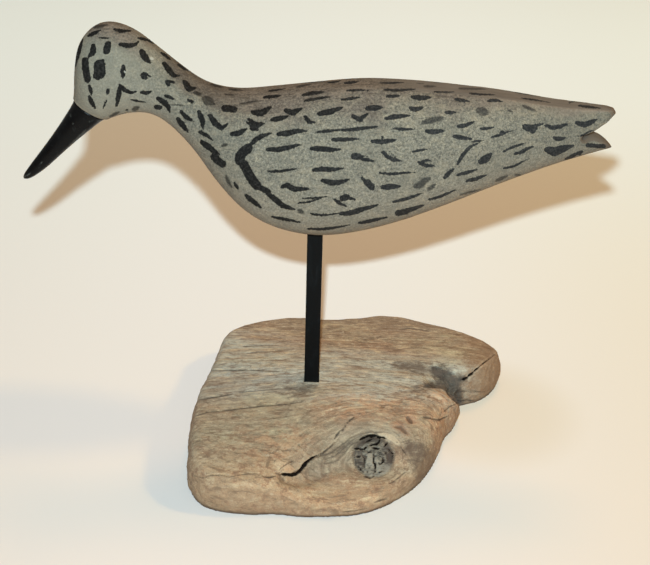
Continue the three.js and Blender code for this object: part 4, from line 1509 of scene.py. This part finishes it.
def traced_wood(piece, seen):
    """The traced splits and shades: how much they cut away, and what the finish needs of them."""
    places = read_places(piece)
    spots, scale = seen_at(places, camera.matrix_world)
    shakes = [wander(places, SHAKE_SCALE, 51), wander(places, SHAKE_SCALE, 52)]
    shaken = spots + SHAKE * np.stack(shakes, 1)

    def lay(view, marks, kind="split", spots=spots):
        return lay_marks(spots, scale, view, marks, kind)

    checks = lay(NEAR_RIGHT_VIEW, knot_checks, spots=shaken) - 0.3 * wander(places, 1.6, 53)
    cracks = lay(NEAR_LEFT_VIEW, crevice, spots=spots + 0.5 * (shaken - spots))
    cracks = np.maximum(cracks, lay(FAR_RIGHT_VIEW, lobe_crack))
    chip_and_glint = np.maximum(lay(NEAR_RIGHT_VIEW, PALE_CHIP), lay(FAR_RIGHT_VIEW, WHITE_SPECK, "blot"))
    layers = {
        "split": np.maximum.reduce([lay(view, group) for view, group in split_groups]),
        "gap": np.maximum(checks, cracks), "chip_and_glint": chip_and_glint,
        "swirl": lay(NEAR_RIGHT_VIEW, swirl_lines), "hole": lay(NEAR_RIGHT_VIEW, WORN_HOLES),
    }
    for marks in layers.values():
        marks[~seen] = OUTSIDE

    shades = {}
    for name, (view, marks) in soft_shades.items():
        inside = lay_marks(spots, scale, view, marks, "split", SHADE_MARGIN)
        shades[name] = ease(inside, *SHADE_FALLS) * (seen | (name == "pit"))
    shades["pit"] *= ease(lay(FAR_RIGHT_VIEW, NOTCH_BLOCK, "blot"), 0.5, -0.9)
    groove = -PIT_DEPTH * shades["pit"] - BEVEL_DEPTH * ease(lay(FAR_RIGHT_VIEW, NOTCH_EDGE), *BEVEL_FALLS)
    for name, (depth, start, end) in GROOVES.items():
        groove -= depth * ease(layers[name], start, end)
    for layer, shares in SHADE_SHARES.items():
        layers[layer] = np.maximum.reduce([share * shades[name] for name, share in shares.items()])
    return groove, layers


def carve_driftwood(piece):
    places, normals = read_places(piece), read_normals(piece)
    spots, scale = seen_at(places, camera.matrix_world)
    seen = (facing(places, normals, VIEWER) > GRAZING) & (places[:, 2] > LOWEST_SEEN)
    layers = {"knot": knot_cover(places, normals)}
    height = grain_relief(places, normals, layers) * (1 - (1 - GRAIN_LEFT_ON_KNOT) * layers["knot"])
    height += plate_relief(places, normals, layers) + bank_relief(spots, scale, seen)
    displace_wood(piece, height)

    groove, traced = traced_wood(piece, seen)
    displace_wood(piece, groove)
    places, normals = read_places(piece), read_normals(piece)
    layers["hollow"] = np.sum((evened(piece, HOLLOW_ROUNDS) - places) * normals, 1)
    layers["channel"] *= ease(from_knot(places, CHANNEL_WAY), -3, 6)
    for name, values in (layers | traced).items():
        attach(piece, name, values)
    return height + groove


height = carve_driftwood(driftwood)
print("relief from", round(float(height.min()), 1), "to", round(float(height.max()), 1), "mm")

# %% [markdown]
# ## The colours of driftwood
#
# Sea and sun have bleached the top: grey round the bar's foot, tan and orange-brown elsewhere,
# browner at the far rim and on the right-hand lobe. Fine streaks follow the grain through the
# stored coordinate across it, and noise of several sizes breaks every patch up.

# %% Driftwood colours
BLEACHED = [((20, 8), (95, 36)), ((60, 12), (52, 26)), ((-45, 20), (60, 50))]
RUSTY = [((-10, -62), (36, 24)), ((45, -25), (60, 18)), ((82, -8), (26, 26)), ((10, -84), (75, 18))]
BOARD_COATS = [
    ("tones", 0.48, 0.7, 0.6, (180, 145, 110)),
    ("tones", 0.46, 0.3, 0.5, (146, 138, 116)),
    ("wide", 0.5, 0.68, 0.5, (158, 120, 94)),
    ("wide", 0.47, 0.32, 0.5, (178, 170, 134)),
    ("bands", 0.5, 0.72, 0.5, (138, 114, 90)),
    ("blotches", 0.52, 0.68, 0.45, (120, 102, 84)),
    ("blotches", 0.46, 0.32, 0.5, (198, 178, 146)),
]
FIBRE_COATS = [
    ("ragged_north", 40 * MM, 80 * MM, 0.75, (138, 118, 97)),
    ("flecks", 0.52, 0.66, 0.7, (96, 80, 66)),
    ("flecks", 0.47, 0.33, 0.7, (214, 198, 166)),
    ("north", -55 * MM, -85 * MM, 0.4, (186, 148, 106)),
    ("strands", 0.5, 0.66, 0.75, (112, 88, 68)),
    ("strands", 0.47, 0.32, 0.6, (214, 190, 150)),
]
LOBE_COATS = [
    ("ragged_east", 76 * MM, 100 * MM, 0.7, (128, 98, 72)),
    ("plate", 0.1, 1.2, 0.4, (204, 160, 118)),
    ("plate", -0.1, -1.2, 0.45, (132, 108, 86)),
]
KNOT_COATS = [
    ("east", 36 * MM, 41 * MM, 0.6, (88, 74, 66)),
    ("block", 0.3, 0.9, 0.6, (150, 140, 122)),
    ("block", -0.2, -0.8, 0.6, (72, 58, 50)),
]
UNRELATED = 0.4  # a shift in metres that gives one noise a pattern unlike the others
STORED_ON_WOOD = [
    "across", "edge", "channel", "knot", "plate", "crack", "block", "check", "hollow", "split", "gap", "chip_and_glint",
    "swirl", "hole", "dark", "dull",
]


def wood_values(mixing, place):
    """The noises, the measures and the stored numbers that the driftwood's finish follows."""
    east, north, height = mixing.pull(place)
    values = {name: mixing.stored(name) for name in STORED_ON_WOOD}
    across = mixing.times(values["across"], MM)
    grain = mixing.push(mixing.times(east, 0.22), across, mixing.times(height, 0.8))
    strand = mixing.push(mixing.times(east, 0.3), across, height)
    flow = mixing.push(across, mixing.times(east, 0.16), 0.0)
    slanted = mixing.stretch(place, (0.5, 1, 1))
    elsewhere = mixing.push(mixing.plus(east, UNRELATED), north, height)
    bands = mixing.cloud(grain, 130, 4.0, 0.6, 0.5)
    crumbs = mixing.cloud(place, 230, 5.0, 0.7)
    return values | {
        "streaks": mixing.cloud(grain, 620, 5.0, 0.7, 0.3),
        "bands": bands,
        "blotches": mixing.cloud(slanted, 75, 5.0, 0.65, 0.4),
        "tones": mixing.cloud(elsewhere, 160, 4.0, 0.7, 0.3),
        "flecks": mixing.cloud(slanted, 480, 6.0, 0.82),
        "crumbs": crumbs,
        "dust": mixing.cloud(place, 1500, 3.0, 0.8),
        "wide": mixing.cloud(slanted, 36, 3.0, 0.6, 0.3),
        "strands": mixing.cloud(strand, 330, 5.0, 0.75, 0.4),
        "flow": mixing.cloud(flow, 560, 4.0, 0.7, 0.3),
        "east": east,
        "north": north,
        "height": height,
        "ragged_east": mixing.plus(east, mixing.rise(crumbs, 0.3, 0.7, -10 * MM, 10 * MM)),
        "ragged_north": mixing.plus(north, mixing.rise(bands, 0.3, 0.7, -14 * MM, 14 * MM)),
    }


def board_colour(mixing, place, values):
    """The wood itself, without its knot, splits and stains."""
    streaks, crumbs = values["streaks"], values["crumbs"]
    colour = mixing.two_tones(streaks, 0.3, 0.7, (148, 129, 102), (172, 152, 122))
    colour = mixing.coats(colour, values, BOARD_COATS)
    pale_grey = mixing.two_tones(streaks, 0.3, 0.7, (152, 155, 142), (189, 191, 175))
    uneven = mixing.plus(values["bands"], mixing.times(values["blotches"], 0.6))
    bleached = mixing.times(mixing.patches(place, BLEACHED), mixing.rise(uneven, 1.08, 0.62))
    colour = mixing.mix(mixing.times(bleached, 0.9), colour, pale_grey)
    rusty = mixing.times(mixing.patches(place, RUSTY), mixing.rise(crumbs, 0.38, 0.66))
    colour = mixing.coat(colour, mixing.times(rusty, 0.75), (190, 142, 104))
    colour = mixing.coats(colour, values, FIBRE_COATS)
    in_front = mixing.rise(values["north"], -30 * MM, -60 * MM)
    mottle = mixing.times(mixing.rise(crumbs, 0.52, 0.64, 0, 0.7), in_front)
    return mixing.coats(mixing.coat(colour, mottle, (134, 100, 76)), values, LOBE_COATS)


def knot_colour(mixing, values):
    """The dark end grain of the knot, paler where a block stands up on its lower left."""
    colour = mixing.two_tones(values["flecks"], 0.4, 0.62, (40, 38, 35), (138, 131, 115))
    colour = mixing.coats(colour, values, KNOT_COATS)
    return mixing.coat(colour, mixing.times(values["check"], 0.15), (46, 40, 36))


print("coats on the board:", len(BOARD_COATS + FIBRE_COATS + LOBE_COATS))

# %% [markdown]
# ## Stains, splits and the finish
# Low places in the relief are darkened, partly as dirt and partly as painted shade, and the
# lowest millimetres by the floor get a painted contact shadow; dust lies over all, while edges
# that stand up are paler, partly rubbed and partly a painted highlight. Splits and gaps come last
# and are darkest, because no light reaches their floor. The relief that was stored on the points
# says where all of this is, so colour and form agree.

# %% Driftwood finish
WOOD_TONE = (1.0, 0.95, 1.0)
CHIP_COAT = ("chip_and_glint", -0.2, 0.5, 0.8, (196, 174, 142))
HOLE_COATS = [
    ("hole", -3.0, 0.2, 0.3, (176, 118, 84)),
    ("hole", -0.6, 1.0, 0.7, (104, 74, 58)),
    ("swirl", -0.6, 0.5, 0.5, (74, 70, 62)),
]
# darker in low places, as dirt and painted shade, and by the floor as a painted contact shadow
HOLLOW_SHADE_AND_DIRT = ("hollow", 0.03, 0.25, 0.6, (92, 74, 58))
FLOOR_SHADE_AND_DUST = [
    ("height", 2.6 * MM, 0.4 * MM, 0.8, (66, 48, 36)),
    ("dust", 0.3, 0.7, 0.3, (90, 80, 68)),
]


def stained(mixing, values, colour, dark):
    """The colour with its brown stains and a painted shadow by the bar's foot, worn holes, dirt and
    painted shade in hollows and cracks, rubbed and highlighted edges, dust, and a painted shadow
    along the floor.
    """
    dull = mixing.rise(mixing.plus(values["dull"], values["loose"]), 0.0, 1.1, 0, 0.8)
    colour = mixing.coats(mixing.coat(colour, dull, (84, 67, 55)), values, HOLE_COATS)
    # cracks between plates darkened a little, as dirt and painted shade
    colour = mixing.coat(colour, mixing.times(values["crack"], 0.12), (96, 76, 60))
    colour = mixing.coats(colour, values, [HOLLOW_SHADE_AND_DIRT])
    # standing edges paler, partly rubbed and partly a painted highlight
    standing = mixing.rise(values["hollow"], -0.03, -0.22, 0, 0.22)
    rubbed_and_highlit = mixing.times(standing, mixing.rise(dark, 0.3, 0.0))
    colour = mixing.coat(colour, rubbed_and_highlit, (198, 180, 150))
    rim_brown = mixing.mix(values["streaks"], tint(116, 92, 70), tint(166, 136, 104))
    colour = mixing.mix(mixing.rise(values["edge"], 0.3, 1.0, 0, 0.4), colour, rim_brown)
    return mixing.coats(colour, values, FLOOR_SHADE_AND_DUST)


def driftwood_finish():
    mixing = Recipe("weathered_driftwood")
    place = mixing.place()
    values = wood_values(mixing, place)
    flecks, crumbs = values["flecks"], values["crumbs"]
    values["loose"] = mixing.rise(mixing.plus(flecks, crumbs), 0.7, 1.3, -0.35, 0.35)
    ragged = mixing.rise(flecks, 0.3, 0.7, -0.16, 0.16)
    patchy = mixing.plus(values["dark"], mixing.times(values["loose"], 0.9))
    dark = mixing.rise(patchy, 0.15, 1.25, 0, 0.9)
    split = mixing.rise(mixing.plus(values["split"], ragged), -0.5, 0.45, 0, 0.8)
    gap = mixing.rise(mixing.plus(values["gap"], ragged), -0.25, 0.2, 0, 0.96)

    swirl_grey = mixing.two_tones(values["flow"], 0.36, 0.64, (102, 95, 82), (170, 159, 134))
    channel = mixing.times(values["channel"], 0.5)
    colour = mixing.mix(channel, board_colour(mixing, place, values), swirl_grey)
    colour = mixing.mix(values["knot"], colour, knot_colour(mixing, values))
    colour = mixing.coats(colour, values, [CHIP_COAT])
    colour = stained(mixing, values, colour, dark)
    # painted shade in the pit, beside the crevice and over the knot's ring, and a darker grey over the swirl
    dark_shade_tone = mixing.two_tones(crumbs, 0.4, 0.62, (38, 34, 32), (80, 71, 62))
    colour = mixing.mix(dark, colour, dark_shade_tone)
    colour = mixing.coat(mixing.coat(colour, split, (46, 40, 36)), gap, (12, 10, 9))
    fibres = mixing.plus(mixing.times(values["streaks"], 0.5), mixing.times(flecks, 0.6))
    return mixing.finish(
        Base_Color=mixing.mix(1.0, colour, WOOD_TONE, "MULTIPLY"),
        Roughness=0.88,
        Specular_IOR_Level=mixing.rise(gap, 0.2, 0.8, 0.2, 0.0),
        Normal=mixing.bump(fibres, 0.6, 0.35 * MM),
    )


def underside_finish():
    mixing = Recipe("sawn_driftwood_underside")
    place = mixing.place()
    streaks = mixing.cloud(mixing.stretch(place, (0.07, 1, 1)), 500, 5.0, 0.7)
    kerfs = mixing.cloud(mixing.stretch(place, (1, 0.03, 1)), 420, 2.0, 0.5)
    colour = mixing.mix(streaks, tint(124, 98, 72), tint(186, 156, 120))
    colour = mixing.coat(colour, mixing.rise(kerfs, 0.5, 0.7, 0, 0.35), (110, 86, 64))
    return mixing.finish(Base_Color=colour, Roughness=0.85, Normal=mixing.bump(kerfs, 0.4, 0.3 * MM))


driftwood.data.materials.append(driftwood_finish())
driftwood.data.materials.append(underside_finish())
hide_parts("driftwood_base")
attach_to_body(driftwood, "root")
print("driftwood finished")
